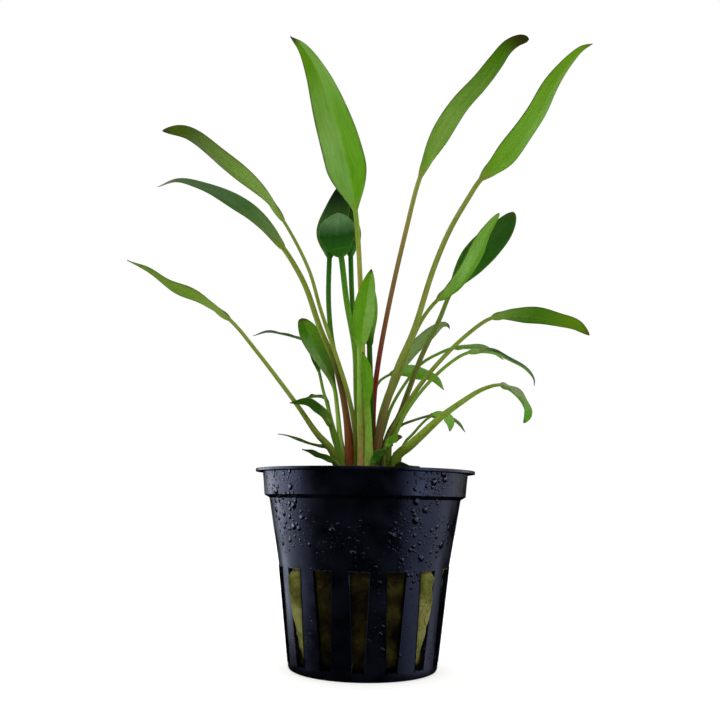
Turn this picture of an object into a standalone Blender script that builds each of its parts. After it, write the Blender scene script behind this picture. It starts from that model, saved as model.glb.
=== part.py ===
"""Potted cryptocoryne: a slotted net pot, its plug of mineral wool and the plant's leaves.

Sizes are in millimetres and are scaled to metres as each mesh is made. X runs right, Y runs away
from the front and Z runs up; the origin is the centre of the pot's base.
"""

from dataclasses import dataclass

import bmesh
import bpy
import numpy as np

MM = 0.001
MERGE = 0.00001

# The pot, turned about Z
LIP_RADIUS = 27.5
POT_HEIGHT = 47.7
LIP_THICKNESS = 0.75
COLLAR_TOP_RADIUS = 25.75
COLLAR_LOW_RADIUS = 25.15
STEP_TOP = 41.3
STEP_LOW = 40.6
WALL_TOP_RADIUS = 23.9
WALL_BEND_RADIUS = 21.0
WALL_BEND_HEIGHT = 24.5
BASE_RADIUS = 18.1
BASE_EDGE = 0.6
WALL = 0.8
FLOOR = 1.0
POT_STEPS = 60

# The ring of upright slots in the pot's lower wall
SLOTS = 15
SLOT_PHASE = -3.0
SLOT_TOP = 24.3
SLOT_LOW = 1.9
SLOT_TOP_WIDTH = 4.9
SLOT_LOW_WIDTH = 2.8
SLOT_CUT_DEPTH = 4.0

# The plug of mineral wool, with the planting hole that the leaves' feet stand in
WOOL_TOP_RADIUS = 21.8
WOOL_LOW_RADIUS = 15.8
WOOL_LOW = 1.3
WOOL_TOP = 43.0
WOOL_EDGE = 1.2
HOLE_RADIUS = 12.2
HOLE_FLOOR_RADIUS = 10.8
HOLE_FLOOR = 39.4
WOOL_STEPS = 32

# The leaves, lofted from a round petiole into a thin blade
RING = 8
CURVE_STEPS = 24
PETIOLE_SPACING = 20.0
BLADE_SPACING = 6.5
FEWEST_PETIOLE_RINGS = 3
FEWEST_BLADE_RINGS = 5
HEADING_REACH = 0.2
MIDRIB_THICKNESS = 0.9
MIDRIB_THINNING = 0.55
MIDRIB_SHARPNESS = 1.5
EDGE_THICKNESS = 0.3
CREASE_ROUNDNESS = 1.6
CREASE_CENTRE = 0.5
TIP_WIDTH = 0.3
TIP_THICKNESS = 0.24
FLATTENING = 0.18

# Materials: a colour and a roughness each
BLACK_PLASTIC = ((0.008, 0.008, 0.012), 0.3)
WOOL_OLIVE = ((0.17, 0.18, 0.05), 0.95)
LEAF_GREEN = ((0.11, 0.27, 0.03), 0.4)
LEAF_DARK = ((0.03, 0.11, 0.02), 0.35)
LEAF_LIGHT = ((0.19, 0.38, 0.06), 0.45)


@dataclass
class Leaf:
    """One leaf: the route of its midline, foot first, and how its blade spreads along it.

    blade_from is the route's point where the petiole ends. petiole gives its diameters at the
    foot and there. faces gives where the blade's upper side looks, there and at the tip. peak is
    where along the blade it is widest, and start and end shape the outline before and after it.
    """

    route: list
    blade_from: int
    width: float
    petiole: tuple
    faces: tuple
    look: tuple = LEAF_GREEN
    peak: float = 0.4
    fold: float = 0.2
    start: float = 0.9
    end: float = 0.8
    taper: float = 0.6


AWAY_AND_LEFT = ((-0.56, 0.64, 0.63), (-0.5, 0.64, 0.63))
AWAY = ((-0.1, 0.9, 0.3), (-0.5, 0.8, 0.3))
TO_FRONT = ((-0.1, -0.8, 0.6), (-0.1, -0.6, 0.8))
UP = ((0.0, 0.0, 1.0), (0.0, 0.0, 1.0))

LEAVES = {
    "leaf_top_centre": Leaf(
        [(0.1, -0.8, 40), (-0.4, -1, 57.9), (-0.8, -1.5, 68.5), (-1.9, -4, 93.6),
         (-3.5, -8.5, 113.2), (-6.1, -12, 124.7), (-9.3, -15.5, 134.7), (-13.18, -19, 144.7),
         (-16.98, -21, 150.9), (-20.2, -22, 153.5)],
        4, 10.7, (1.7, 1.25), AWAY, LEAF_LIGHT, peak=0.27, start=1.2),
    "leaf_top_right": Leaf(
        [(1.8, 2.8, 40), (1.9, 3, 64.7), (2.8, 3, 74.5), (5.6, 2, 91.2), (9.85, -1, 110.9),
         (13.35, -3, 124.8), (16.9, -5, 132.3), (23.3, -8, 142.2), (28.7, -10, 148.3),
         (32.5, -11.6, 153), (35.5, -12.8, 156.7), (38.1, -13.6, 158.1), (40.6, -14, 158.3)],
        5, 6.6, (1.5, 1.2), AWAY_AND_LEFT, peak=0.3, fold=0.25, start=1.1, end=0.38),
    "leaf_far_right": Leaf(
        [(2.8, -1.2, 40), (2.9, -1.3, 53.3), (4.7, -1.6, 63), (7.6, -2, 73.2), (11.9, -2, 83.5),
         (16.9, -2, 99.8), (21.3, -1.5, 110.8), (26.2, -1, 119.7), (29.65, -1, 125.2),
         (37.95, -1, 133.5), (44.4, 0, 143.4), (49.9, 1, 153.5), (55.3, 2.5, 161.8),
         (58.8, 3, 165.6), (61.7, 3, 167.1)],
        8, 8.6, (2.0, 1.3), AWAY_AND_LEFT, peak=0.24, fold=0.25, start=1, end=0.75),
    "leaf_upper_left": Leaf(
        [(-2.1, -1.4, 40), (-1.9, -1.2, 52.3), (-2.9, -1.2, 59.1), (-5, -0.8, 68),
         (-7.8, 0, 76.5), (-12.4, 2, 89.6), (-16, 4, 101.2), (-23.3, 6, 115.2),
         (-29.2, 7.5, 123.3), (-41.4, 11, 134.6), (-53.3, 14, 144), (-60.6, 16, 145.6)],
        7, 8.1, (1.5, 0.85), ((0.53, 0.44, 0.82), (-0.06, 0.44, 1.0)), peak=0.55, end=0.6),
    "leaf_second_left": Leaf(
        [(-3.6, 1.2, 40), (-4, 1.4, 52.4), (-5.6, 2.2, 64.5), (-8.2, 3.2, 74.9),
         (-12.6, 4.5, 85.2), (-16.5, 7.5, 96.2), (-19.4, 9.8, 102.3), (-23.8, 12, 109.4),
         (-31.5, 15, 118.8), (-37, 17.5, 123.5), (-48.8, 21.5, 130.7), (-57.4, 24, 133.6),
         (-63.6, 25.5, 132.1)],
        7, 6.2, (1.9, 1.4), ((0.35, -0.85, 0.3), (0.1, -0.7, 0.65)), LEAF_DARK,
        peak=0.42, fold=0.25, end=0.9, start=0.75),
    "leaf_low_left": Leaf(
        [(-5.6, -3.4, 40), (-8.1, -3.4, 51.8), (-12.4, -4, 56.7), (-17.3, -5, 63.5),
         (-27.5, -7, 76.4), (-34.4, -9, 84.2), (-41.2, -10.5, 88.6), (-49, -12.5, 92),
         (-54.8, -14, 95.6), (-59.3, -15, 97.5)],
        5, 6.4, (1.6, 0.9), ((0.41, 0.32, 0.9), (0.35, 0.3, 0.95)),
        peak=0.42, fold=0.15, start=0.95, end=1.2),
    "leaf_back_left": Leaf(
        [(-3, 4.2, 40), (-4.1, 4.6, 53.1), (-5.9, 5.9, 64.9), (-8.05, 7.6, 75.8),
         (-9.75, 8.2, 84.1), (-10.75, 9.8, 94.1), (-10.9, 12.5, 106.9), (-10.9, 17, 114.7),
         (-9.6, 24, 125), (-7.6, 31, 137)],
        6, 8.8, (1.2, 1.4), TO_FRONT, LEAF_DARK, peak=0.35, fold=0.15, end=0.6, start=1),
    "leaf_back_middle": Leaf(
        [(-1, 4.6, 40), (-1.4, 4.8, 53.1), (-2.6, 5.5, 66.3), (-3.25, 6, 79.7), (-5.7, 7, 93),
         (-7.6, 9.5, 106.9), (-8.8, 12, 112.1), (-9.1, 15.5, 117.3), (-9.1, 19.5, 122.5)],
        5, 10.8, (1.3, 1.6), TO_FRONT, LEAF_DARK, peak=0.45, fold=0.15, start=0.6, end=0.6),
    "leaf_back_right": Leaf(
        [(0.1, 6.6, 40), (-0.6, 7, 53.3), (-1.8, 7.5, 66.5), (-3.1, 8.4, 80.2),
         (-4.3, 10, 94.3), (-5, 13.5, 107.9), (-5.3, 19, 114.3), (-7.5, 27.5, 125.1),
         (-10.2, 36, 136.9)],
        5, 7.0, (1.2, 1.4), TO_FRONT, LEAF_DARK, peak=0.35, fold=0.15),
    "leaf_dark_right": Leaf(
        [(4.6, 2.8, 40), (5.7, 3.2, 56.2), (8.5, 3.6, 61.8), (10.9, 4.6, 68.5), (14.7, 7, 78.8),
         (19.6, 11, 89.3), (23.3, 15, 98.3), (29.2, 20, 106.9), (35.2, 26, 115.5),
         (40.4, 31, 122.5), (44.7, 36, 129.5)],
        6, 10.4, (1.8, 1.2), ((-0.3, -0.85, 0.2), (-0.3, -0.85, 0.2)), LEAF_DARK,
        peak=0.44, fold=0.15, end=0.55, start=1),
    "leaf_light_right": Leaf(
        [(3.6, 1.1, 40), (3.9, 1, 58.1), (5.8, 0.6, 65.8), (8.1, 0.6, 71.6), (10.6, 0.6, 78.9),
         (14.2, 1, 87.1), (18.3, 1, 92.5), (23.2, 0, 96.3), (27.9, -2, 103.8),
         (30.6, -4, 109.4), (33.7, -6, 114.1)],
        6, 7.3, (1.5, 1.0), ((-0.6, 0.47, 0.66), (-0.6, 0.47, 0.66)), LEAF_LIGHT, peak=0.35,
        end=0.5),
    "leaf_bright_arch": Leaf(
        [(5.2, -0.1, 40), (5.4, 0, 55.2), (7.4, 0, 59.1), (9.9, 0, 63.7), (14, 0.5, 70.1),
         (20.3, 2, 77.8), (27.1, 3.5, 84.5), (33.2, 5.5, 88.9), (40.6, 8, 90.4), (49.9, 11, 90),
         (57.3, 13.5, 89), (61.6, 15, 86.5)],
        7, 6.6, (1.6, 1.0), ((-0.2, 0.5, 0.95), (0.1, 0.5, 0.95)), start=0.8, end=0.6),
    "leaf_thin_arch_upper": Leaf(
        [(4.6, 5, 40), (3.7, 5.2, 55.1), (4.6, 5.4, 58.2), (6.5, 6.2, 64.4), (10, 7.6, 70.7),
         (14.6, 9.5, 76.8), (19.8, 10.8, 80.1), (23.7, 12, 81.8), (29.5, 14.4, 82.6),
         (34.3, 16.6, 82.1), (38.3, 18.6, 79.9)],
        7, 4.8, (0.9, 0.8), ((-0.17, -0.37, 0.84), (0.4, -0.37, 0.65)), LEAF_DARK,
        peak=0.45, fold=0.25),
    "leaf_thin_arch_lower": Leaf(
        [(5.7, -2, 40), (5.9, -2, 53.8), (7.8, -2, 57.6), (9.8, -1.8, 62), (14.2, -1, 68.3),
         (20.9, 2, 75.3), (27, 6, 79.5), (33.8, 10, 80.6), (39.3, 13.5, 79.2), (44.1, 16, 77),
         (46.4, 17, 74.3), (46.6, 17.5, 72.4)],
        6, 5.0, (1.1, 0.85), ((-0.1, -0.37, 0.84), (0.5, -0.37, 0.55)), LEAF_DARK,
        peak=0.45, fold=0.25),
    "leaf_front_centre": Leaf(
        [(-1, -3.2, 40), (-1, -3.6, 52.6), (-1.5, -4.2, 61.3), (-1.6, -5, 71.3),
         (-1.7, -6, 78.8), (-0.75, -7.5, 87.5), (0, -8.6, 93), (0.8, -10, 97.5)],
        4, 5.8, (1.5, 1.6), ((-0.3, 0.9, 0.2), (-0.2, 0.9, 0.2)), LEAF_LIGHT,
        peak=0.35, fold=0.35, start=0.6, end=0.7),
    "leaf_behind_front": Leaf(
        [(1.2, 1.0, 40), (1.3, 1.0, 53.0), (1.2, 1.0, 65.8), (0.8, 0.8, 74.9),
         (0.6, 0.6, 80.1), (0.7, 0.2, 88.0), (0.8, -0.2, 93.0), (0.2, -0.6, 97.8)],
        4, 4.6, (1.4, 1.4), ((-0.5, 0.85, 0.1), (-0.5, 0.85, 0.1)),
        peak=0.55, fold=0.3, start=0.7),
    "leaf_small_front": Leaf(
        [(1.0, -4.6, 40), (0.8, -4.8, 52.6), (0.5, -5.4, 60.0), (0.2, -5.8, 64.9),
         (0.3, -6.2, 68.7), (0.0, -6.8, 72.1), (-1.1, -7.6, 76.8)],
        3, 2.9, (1.4, 1.5), ((0.1, 0.9, 0.3), (0.0, 0.9, 0.3)), LEAF_LIGHT,
        fold=0.3, start=0.6),
    "leaf_low_arch": Leaf(
        [(7, -3.8, 40), (6.8, -4, 48.4), (7.9, -4.1, 51.4), (10.8, -4.6, 53.7),
         (14.7, -5.4, 57.3), (18.8, -6.2, 61.1), (23.7, -7.4, 64.7), (28.4, -8.8, 67.6),
         (32.7, -10, 68.7), (35.4, -11.4, 67.5), (37.8, -12.6, 64.6), (38.5, -13.6, 61.6),
         (37.5, -14.4, 59)],
        8, 5.5, (2.2, 0.8), ((0.3, -0.4, 0.9), (0.9, -0.4, 0.2)), fold=0.3, taper=1.8,
        end=0.6),
    "leaf_small_right_thin": Leaf(
        [(6.3, 1.6, 40), (6.7, 1.8, 56.4), (8.8, 2, 59.3), (11.9, 2.6, 60.7),
         (16.6, 3.6, 62.3), (18.7, 4, 62.8), (21.9, 4.6, 62.1), (24.0, 5, 60.6),
         (25.9, 5.4, 58.3)],
        4, 2.6, (0.8, 0.6), ((0.0, -0.5, 1.0), (0.5, -0.5, 0.6)), LEAF_DARK, peak=0.3),
    "leaf_small_right_hanging": Leaf(
        [(7.3, -0.6, 40), (9.7, -0.8, 54.5), (11.9, -1, 57.0), (14.0, -1, 59.5),
         (16.5, -1, 61.6), (19.3, -1, 62.0), (21.0, -1.2, 60.5), (21.2, -1.6, 57.8)],
        4, 4.4, (0.9, 0.6), ((0.1, -0.5, 1.0), (0.9, -0.6, 0.2)), peak=0.55),
    "leaf_crossing": Leaf(
        [(1.2, 5.0, 40), (1.6, 6.4, 58.5), (1.9, 9, 66.8), (3.3, 11, 71.9), (6.3, 12.3, 74.2),
         (8.5, 13, 75.0), (11.6, 13.8, 75.2), (16.0, 14.6, 74.7), (19.1, 15, 73.2),
         (21.3, 15.4, 70.6)],
        4, 5.2, (0.9, 0.7), ((0.0, -0.9, 0.7), (0.5, -0.8, 0.6)), fold=0.15),
    "leaf_hooked": Leaf(
        [(2.9, 5.8, 40), (3.3, 6.8, 59.9), (5.1, 8, 67.2), (7.9, 9.5, 74), (10.6, 10.6, 78.3),
         (13.9, 11.8, 82.4), (17.8, 13.4, 86.2), (21.3, 15, 88.9), (22.5, 15.5, 88.7),
         (22.9, 15.7, 87.9)],
        3, 5.4, (1.3, 1.0), ((-0.47, 0.63, 0.64), (-0.3, 0.7, 0.6)), peak=0.35),
    "leaf_on_edge": Leaf(
        [(-4.4, 5.6, 40), (-3.6, 6.2, 53.2), (-5.4, 7.8, 63.8), (-7.5, 10.2, 72.7),
         (-10.4, 13, 79.5), (-14.3, 16, 83.1), (-18.7, 18.5, 85.2), (-23.7, 20.5, 86.8),
         (-28.8, 22.5, 87.7), (-33.0, 24, 86.7)],
        5, 5.0, (0.9, 0.7), ((0.1, 0.0, 1.0), (-0.4, 0.0, 0.9)), LEAF_DARK, fold=0.1),
    "leaf_split_tip": Leaf(
        [(-5, 2.6, 40), (-5.9, 2.8, 51.7), (-6.7, 3, 56.3), (-7.5, 3.5, 63.3),
         (-8.4, 3.8, 69.1), (-10.6, 5.2, 74.7), (-13.4, 7.4, 79.6), (-15.75, 10, 84.7),
         (-18.1, 12.6, 89.6)],
        4, 6.4, (1.3, 1.1), ((0.35, -0.9, 0.2), (0.35, -0.9, 0.3)), LEAF_DARK,
        peak=0.66, fold=0.3, end=0.45, start=1.15),
    "leaf_behind_split": Leaf(
        [(-6.0, 1.0, 40), (-6.8, 1.4, 52.3), (-8.1, 2.4, 57.5), (-10.0, 4.4, 63.9),
         (-11.5, 6.4, 68.9), (-12.8, 8.6, 74.1), (-14.3, 10.8, 78.5), (-15.5, 13, 82.2),
         (-16.5, 14.5, 85.9)],
        5, 2.8, (1.0, 0.8), ((0.4, -0.8, 0.4), (0.4, -0.8, 0.4)), LEAF_DARK, peak=0.5),
    "leaf_small_left": Leaf(
        [(-5, -0.6, 40), (-5.6, -0.7, 47.7), (-6.9, -0.9, 52.5), (-8.2, -1.6, 56.2),
         (-8.9, -2.6, 58.6), (-10.3, -4, 61), (-12.3, -5.6, 62.8), (-14.7, -7.2, 63.8),
         (-18.7, -9.6, 63.5)],
        4, 4.0, (1.2, 1.0), ((0.3, -0.9, 0.7), (0.0, -0.8, 0.8)), LEAF_DARK),
    "leaf_small_left_edge": Leaf(
        [(-6.8, 3.7, 40), (-6.9, 4.6, 53.3), (-8.4, 5.6, 58.0), (-9.7, 7, 63.2),
         (-10.9, 8.8, 67.2), (-13.0, 9.8, 67.8), (-16.6, 11.6, 67.3)],
        4, 3.4, (1.0, 0.8), ((0.3, 0.0, 1.0), (-0.1, 0.0, 1.0)), LEAF_DARK, fold=0.15),
    "leaf_thread_left": Leaf(
        [(-6.8, -1.1, 40), (-6.6, -1.5, 47.7), (-7.3, -2.0, 50.8), (-8.7, -1.9, 52.5),
         (-10.2, -2.0, 53.4), (-14.0, -3, 54.3), (-17.0, -3.8, 55.1), (-19.7, -4.6, 56.0),
         (-21.9, -5.2, 56.2)],
        4, 1.6, (0.8, 0.6), UP, fold=0.1),
    "leaf_low_dark_left": Leaf(
        [(-5.2, -5.4, 40), (-6.0, -5.4, 47.5), (-7.5, -5.8, 49.4), (-9.7, -6.4, 50.3),
         (-12.2, -7.2, 51.3), (-15.5, -8.4, 52.3)],
        2, 1.4, (1.0, 0.8), ((0.2, -0.9, 0.6), (0.0, -0.7, 0.8)), LEAF_DARK,
        peak=0.35, fold=0.15),
    "leaf_round_tip": Leaf(
        [(5.0, -5.0, 40), (4.3, -5.6, 51.4), (5.3, -6, 53.3), (6.2, -6.4, 54.7),
         (7.4, -6.8, 55.3), (8.9, -7.4, 55.7)],
        2, 2.6, (1.2, 1.0), TO_FRONT, peak=0.55, end=0.5),
    "leaf_over_rim": Leaf(
        [(6.9, -6.1, 40), (7.5, -6.8, 45.3), (8.2, -8, 47.8), (9.3, -9.6, 48.8),
         (10.9, -11.4, 48.6), (12.7, -13.4, 47.6)],
        2, 3.6, (1.3, 1.1), ((0.1, -0.2, 1.0), (0.5, -0.2, 0.9)), LEAF_DARK,
        peak=0.45, fold=0.15),
    "leaf_short_dark": Leaf(
        [(3.4, -6.2, 40), (2.1, -6.8, 49.3), (2.8, -7.4, 50.7), (3.8, -8, 51.5),
         (5.0, -8.8, 51.7)],
        1, 2.4, (1.2, 1.1), TO_FRONT, LEAF_DARK, peak=0.5, end=0.5),
}


def clear_scene():
    """Removes every object that the new file starts with."""
    for item in list(bpy.data.objects):
        bpy.data.objects.remove(item, do_unlink=True)


def new_collection(name):
    collection = bpy.data.collections.new(name)
    bpy.context.scene.collection.children.link(collection)
    return collection


def new_material(name, look):
    colour, roughness = look
    material = bpy.data.materials.new(name)
    material.use_nodes = True
    shader = material.node_tree.nodes["Principled BSDF"]
    shader.inputs["Base Color"].default_value = (*colour, 1.0)
    shader.inputs["Roughness"].default_value = roughness
    shader.inputs["Metallic"].default_value = 0.0
    return material


def new_object(name, mesh, collection, material=None):
    item = bpy.data.objects.new(name, mesh)
    collection.objects.link(item)
    if material:
        mesh.materials.append(material)
    return item


def turned(name, profile, steps, collection, material):
    """A solid turned about Z from a profile of (radius, height) that ends on the axis."""
    mesh = bpy.data.meshes.new(name)
    points = [(radius * MM, 0.0, height * MM) for radius, height in profile]
    edges = [(i, i + 1) for i in range(len(points) - 1)]
    mesh.from_pydata(points, edges, [])
    item = new_object(name, mesh, collection, material)
    screw = item.modifiers.new("turn", "SCREW")
    screw.steps = steps
    screw.render_steps = steps
    screw.use_merge_vertices = True
    screw.merge_threshold = MERGE
    screw.use_smooth_shade = True
    return item


def pot_profile():
    """From the middle of the floor up the inside, over the lip and down the outside."""
    lip_low = POT_HEIGHT - LIP_THICKNESS
    return [
        (0.0, FLOOR),
        (BASE_RADIUS - WALL, FLOOR),
        (WALL_BEND_RADIUS - WALL, WALL_BEND_HEIGHT),
        (WALL_TOP_RADIUS - WALL, STEP_LOW),
        (COLLAR_LOW_RADIUS - WALL, STEP_TOP + WALL / 2),
        (COLLAR_TOP_RADIUS - WALL, POT_HEIGHT),
        (LIP_RADIUS, POT_HEIGHT),
        (LIP_RADIUS, lip_low),
        (COLLAR_TOP_RADIUS, lip_low),
        (COLLAR_LOW_RADIUS, STEP_TOP),
        (WALL_TOP_RADIUS, STEP_LOW),
        (WALL_BEND_RADIUS, WALL_BEND_HEIGHT),
        (BASE_RADIUS, BASE_EDGE),
        (BASE_RADIUS - BASE_EDGE, 0.0),
        (0.0, 0.0),
    ]


def slot_cutter(angle, number, collection):
    """A box through the wall at an angle from the front, narrower at its foot."""
    near, far = BASE_RADIUS - SLOT_CUT_DEPTH, WALL_TOP_RADIUS + SLOT_CUT_DEPTH
    shape = bmesh.new()
    bmesh.ops.create_cube(shape, size=1.0)
    turn = np.radians(angle)
    for vertex in shape.verts:
        is_top = vertex.co.z > 0
        half = (SLOT_TOP_WIDTH if is_top else SLOT_LOW_WIDTH) / 2
        side = half if vertex.co.x > 0 else -half
        out = near if vertex.co.y > 0 else far
        height = SLOT_TOP if is_top else SLOT_LOW
        x = side * np.cos(turn) + out * np.sin(turn)
        y = side * np.sin(turn) - out * np.cos(turn)
        vertex.co = (x * MM, y * MM, height * MM)
    mesh = bpy.data.meshes.new(f"slot_{number:02d}")
    shape.to_mesh(mesh)
    shape.free()
    cutter = new_object(mesh.name, mesh, collection)
    cutter.hide_render = True
    cutter.display_type = "WIRE"


def make_pot(collection, cutters):
    material = new_material("black_plastic", BLACK_PLASTIC)
    pot = turned("pot", pot_profile(), POT_STEPS, collection, material)
    for number in range(SLOTS):
        slot_cutter(SLOT_PHASE + number * 360 / SLOTS, number, cutters)
    cut = pot.modifiers.new("slots", "BOOLEAN")
    cut.operation = "DIFFERENCE"
    cut.solver = "EXACT"
    cut.operand_type = "COLLECTION"
    cut.collection = cutters


def make_wool(collection):
    """The plug: it narrows downwards inside the pot, and its top has the planting hole."""
    profile = [
        (0.0, HOLE_FLOOR),
        (HOLE_FLOOR_RADIUS, HOLE_FLOOR),
        (HOLE_RADIUS, WOOL_TOP),
        (WOOL_TOP_RADIUS - WOOL_EDGE, WOOL_TOP),
        (WOOL_TOP_RADIUS, WOOL_TOP - WOOL_EDGE),
        (WOOL_LOW_RADIUS, WOOL_LOW + WOOL_EDGE),
        (WOOL_LOW_RADIUS - WOOL_EDGE, WOOL_LOW),
        (0.0, WOOL_LOW),
    ]
    turned("rockwool", profile, WOOL_STEPS, collection, new_material("wool", WOOL_OLIVE))


def smooth_curve(points):
    """A centripetal Catmull-Rom curve through the points, and where each point lies on it."""
    ends = np.vstack([2 * points[0] - points[1], points, 2 * points[-1] - points[-2]])
    gaps = np.linalg.norm(np.diff(ends, axis=0), axis=1) ** 0.5
    knots = np.concatenate([[0.0], np.cumsum(gaps)])
    curve, marks = [points[0]], [0]
    for i in range(1, len(points)):
        a, b, c, d = ends[i - 1 : i + 3]
        ta, tb, tc, td = knots[i - 1 : i + 3]
        for t in np.linspace(tb, tc, CURVE_STEPS + 1)[1:]:
            ab = ((tb - t) * a + (t - ta) * b) / (tb - ta)
            bc = ((tc - t) * b + (t - tb) * c) / (tc - tb)
            cd = ((td - t) * c + (t - tc) * d) / (td - tc)
            abc = ((tc - t) * ab + (t - ta) * bc) / (tc - ta)
            bcd = ((td - t) * bc + (t - tb) * cd) / (td - tb)
            curve.append(((tc - t) * abc + (t - tb) * bcd) / (tc - tb))
        marks.append(len(curve) - 1)
    return np.array(curve), marks


def leaf_stations(leaf):
    """Where the leaf's sections stand, which way it runs there, and how far along each part."""
    curve, marks = smooth_curve(np.array(leaf.route, float))
    steps = np.linalg.norm(np.diff(curve, axis=0), axis=1)
    run = np.concatenate([[0.0], np.cumsum(steps)])
    foot, end = run[marks[leaf.blade_from]], run[-1]
    petiole_rings = FEWEST_PETIOLE_RINGS + round(foot / PETIOLE_SPACING)
    blade_rings = FEWEST_BLADE_RINGS + round((end - foot) / BLADE_SPACING)
    petiole = np.linspace(0.0, foot, petiole_rings, endpoint=False)
    at = np.concatenate([petiole, np.linspace(foot, end, blade_rings)])
    place = np.stack([np.interp(at, run, curve[:, k]) for k in range(3)], axis=1)
    before, after = at - HEADING_REACH, at + HEADING_REACH
    behind = np.stack([np.interp(before, run, curve[:, k]) for k in range(3)], axis=1)
    ahead = np.stack([np.interp(after, run, curve[:, k]) for k in range(3)], axis=1)
    heading = ahead - behind
    heading /= np.linalg.norm(heading, axis=1)[:, None]
    along_petiole = np.clip(at / foot, 0, 1)
    along_blade = np.clip((at - foot) / (end - foot), 0, 1)
    return place, heading, along_petiole, along_blade


def outline(leaf, along):
    """The blade's width along it, as a share of its greatest width."""
    rise = np.sin(np.pi / 2 * np.clip(along / leaf.peak, 0, 1)) ** leaf.start
    fall = np.cos(np.pi / 2 * np.clip((along - leaf.peak) / (1 - leaf.peak), 0, 1)) ** leaf.end
    return np.where(along < leaf.peak, rise, fall)


def leaf_section(leaf, radius, along):
    """One ring of the loft as offsets across the leaf and along its upper side."""
    angle = 2 * np.pi * np.arange(RING) / RING
    across, above = np.cos(angle), np.sin(angle)
    side = np.sign(np.round(above, 6))
    stem = radius * (1 - along)
    half = stem + (leaf.width / 2 - stem) * outline(leaf, along) if along > 0 else radius
    midrib = MIDRIB_THICKNESS / 2 * (1 - MIDRIB_THINNING * along)
    edge = EDGE_THICKNESS / 2
    if along == 1:
        half, midrib, edge = TIP_WIDTH / 2, TIP_THICKNESS / 2, TIP_THICKNESS / 2
    thickness = side * (edge + (midrib - edge) * (1 - np.abs(across)) ** MIDRIB_SHARPNESS)
    crease = leaf.fold * half * (np.abs(across) ** CREASE_ROUNDNESS - CREASE_CENTRE)
    flat = np.clip(along / FLATTENING, 0, 1)
    flat = flat * flat * (3 - 2 * flat)
    return half * across, (1 - flat) * radius * above + flat * (thickness + crease)


def make_leaf(name, leaf, collection, material):
    """Lofts the leaf's sections into one closed mesh, with a cap at its foot and its tip."""
    place, heading, along_petiole, along_blade = leaf_stations(leaf)
    thick, thin = leaf.petiole[0] / 2, leaf.petiole[1] / 2
    radii = thick + (thin - thick) * along_petiole ** leaf.taper
    first, last = np.array(leaf.faces[0]), np.array(leaf.faces[1])
    shape = bmesh.new()
    rings = []
    for middle, ahead, radius, along in zip(place, heading, radii, along_blade):
        up = first * (1 - along) + last * along
        up = up - up.dot(ahead) * ahead
        up /= np.linalg.norm(up)
        right = np.cross(ahead, up)
        across, above = leaf_section(leaf, radius, along)
        ring = middle + across[:, None] * right + above[:, None] * up
        rings.append([shape.verts.new(tuple(point * MM)) for point in ring])
    for low, high in zip(rings, rings[1:]):
        for k in range(RING):
            n = (k + 1) % RING
            shape.faces.new((low[k], high[k], high[n], low[n]))
    shape.faces.new(rings[0])
    shape.faces.new(reversed(rings[-1]))
    mesh = bpy.data.meshes.new(name)
    shape.to_mesh(mesh)
    shape.free()
    mesh.shade_smooth()
    new_object(name, mesh, collection, material)


def main():
    clear_scene()
    collection = new_collection("potted_cryptocoryne")
    cutters = new_collection("slot_cutters")
    make_pot(collection, cutters)
    make_wool(collection)
    leaf_materials = {
        LEAF_GREEN: new_material("leaf_green", LEAF_GREEN),
        LEAF_DARK: new_material("leaf_dark", LEAF_DARK),
        LEAF_LIGHT: new_material("leaf_light", LEAF_LIGHT),
    }
    for name, leaf in LEAVES.items():
        make_leaf(name, leaf, collection, leaf_materials[leaf.look])


main()
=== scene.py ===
"""The looks of the potted cryptocoryne: fine leaves, a slotted black pot and fibrous mineral wool.

Shapes are worked out in millimetres and scaled to metres as each mesh is made.
"""

from dataclasses import dataclass

import bpy
import numpy as np
from mathutils import Matrix, Vector, noise


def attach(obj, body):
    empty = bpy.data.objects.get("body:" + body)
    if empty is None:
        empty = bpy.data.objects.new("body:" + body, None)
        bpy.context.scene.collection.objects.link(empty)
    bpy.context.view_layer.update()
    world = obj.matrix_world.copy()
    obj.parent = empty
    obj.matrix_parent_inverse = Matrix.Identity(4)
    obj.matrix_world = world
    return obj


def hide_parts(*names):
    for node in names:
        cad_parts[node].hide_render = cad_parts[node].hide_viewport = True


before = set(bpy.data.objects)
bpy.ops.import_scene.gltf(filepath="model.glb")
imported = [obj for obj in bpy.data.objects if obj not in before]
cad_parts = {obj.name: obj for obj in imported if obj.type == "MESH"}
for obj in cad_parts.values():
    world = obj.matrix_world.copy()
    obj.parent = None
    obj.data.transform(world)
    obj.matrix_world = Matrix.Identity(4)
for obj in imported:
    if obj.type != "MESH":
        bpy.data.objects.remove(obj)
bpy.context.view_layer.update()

MM = 0.001
BODY = "root"

# The camera, as the photograph was taken
CAMERA_PLACE = (0.0, -0.215, 0.03962)
CAMERA_PITCH = 9.61
CAMERA_YAW = 0.48
CAMERA_ROLL = 0.92
FOCAL_PIXELS = 843.5
FRAME_PIXELS = 720
SENSOR = 36.0

# The pot, turned about Z
LIP_RADIUS = 27.5
POT_HEIGHT = 47.7
LIP_THICKNESS = 0.75
COLLAR_TOP_RADIUS = 25.75
COLLAR_LOW_RADIUS = 25.15
STEP_TOP = 41.3
STEP_LOW = 40.6
WALL_TOP_RADIUS = 23.9
WALL_BEND_RADIUS = 21.0
WALL_BEND_HEIGHT = 24.5
BASE_RADIUS = 18.1
BASE_EDGE = 0.6
WALL = 0.8
FLOOR = 1.0
INNERMOST = 6.0
FLOOR_CORNER = (1.0, 0.3)
LIP_CORNER = 0.3
BASE_CORNER = 0.2
UPPER_WALL_ROWS = 6

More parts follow.
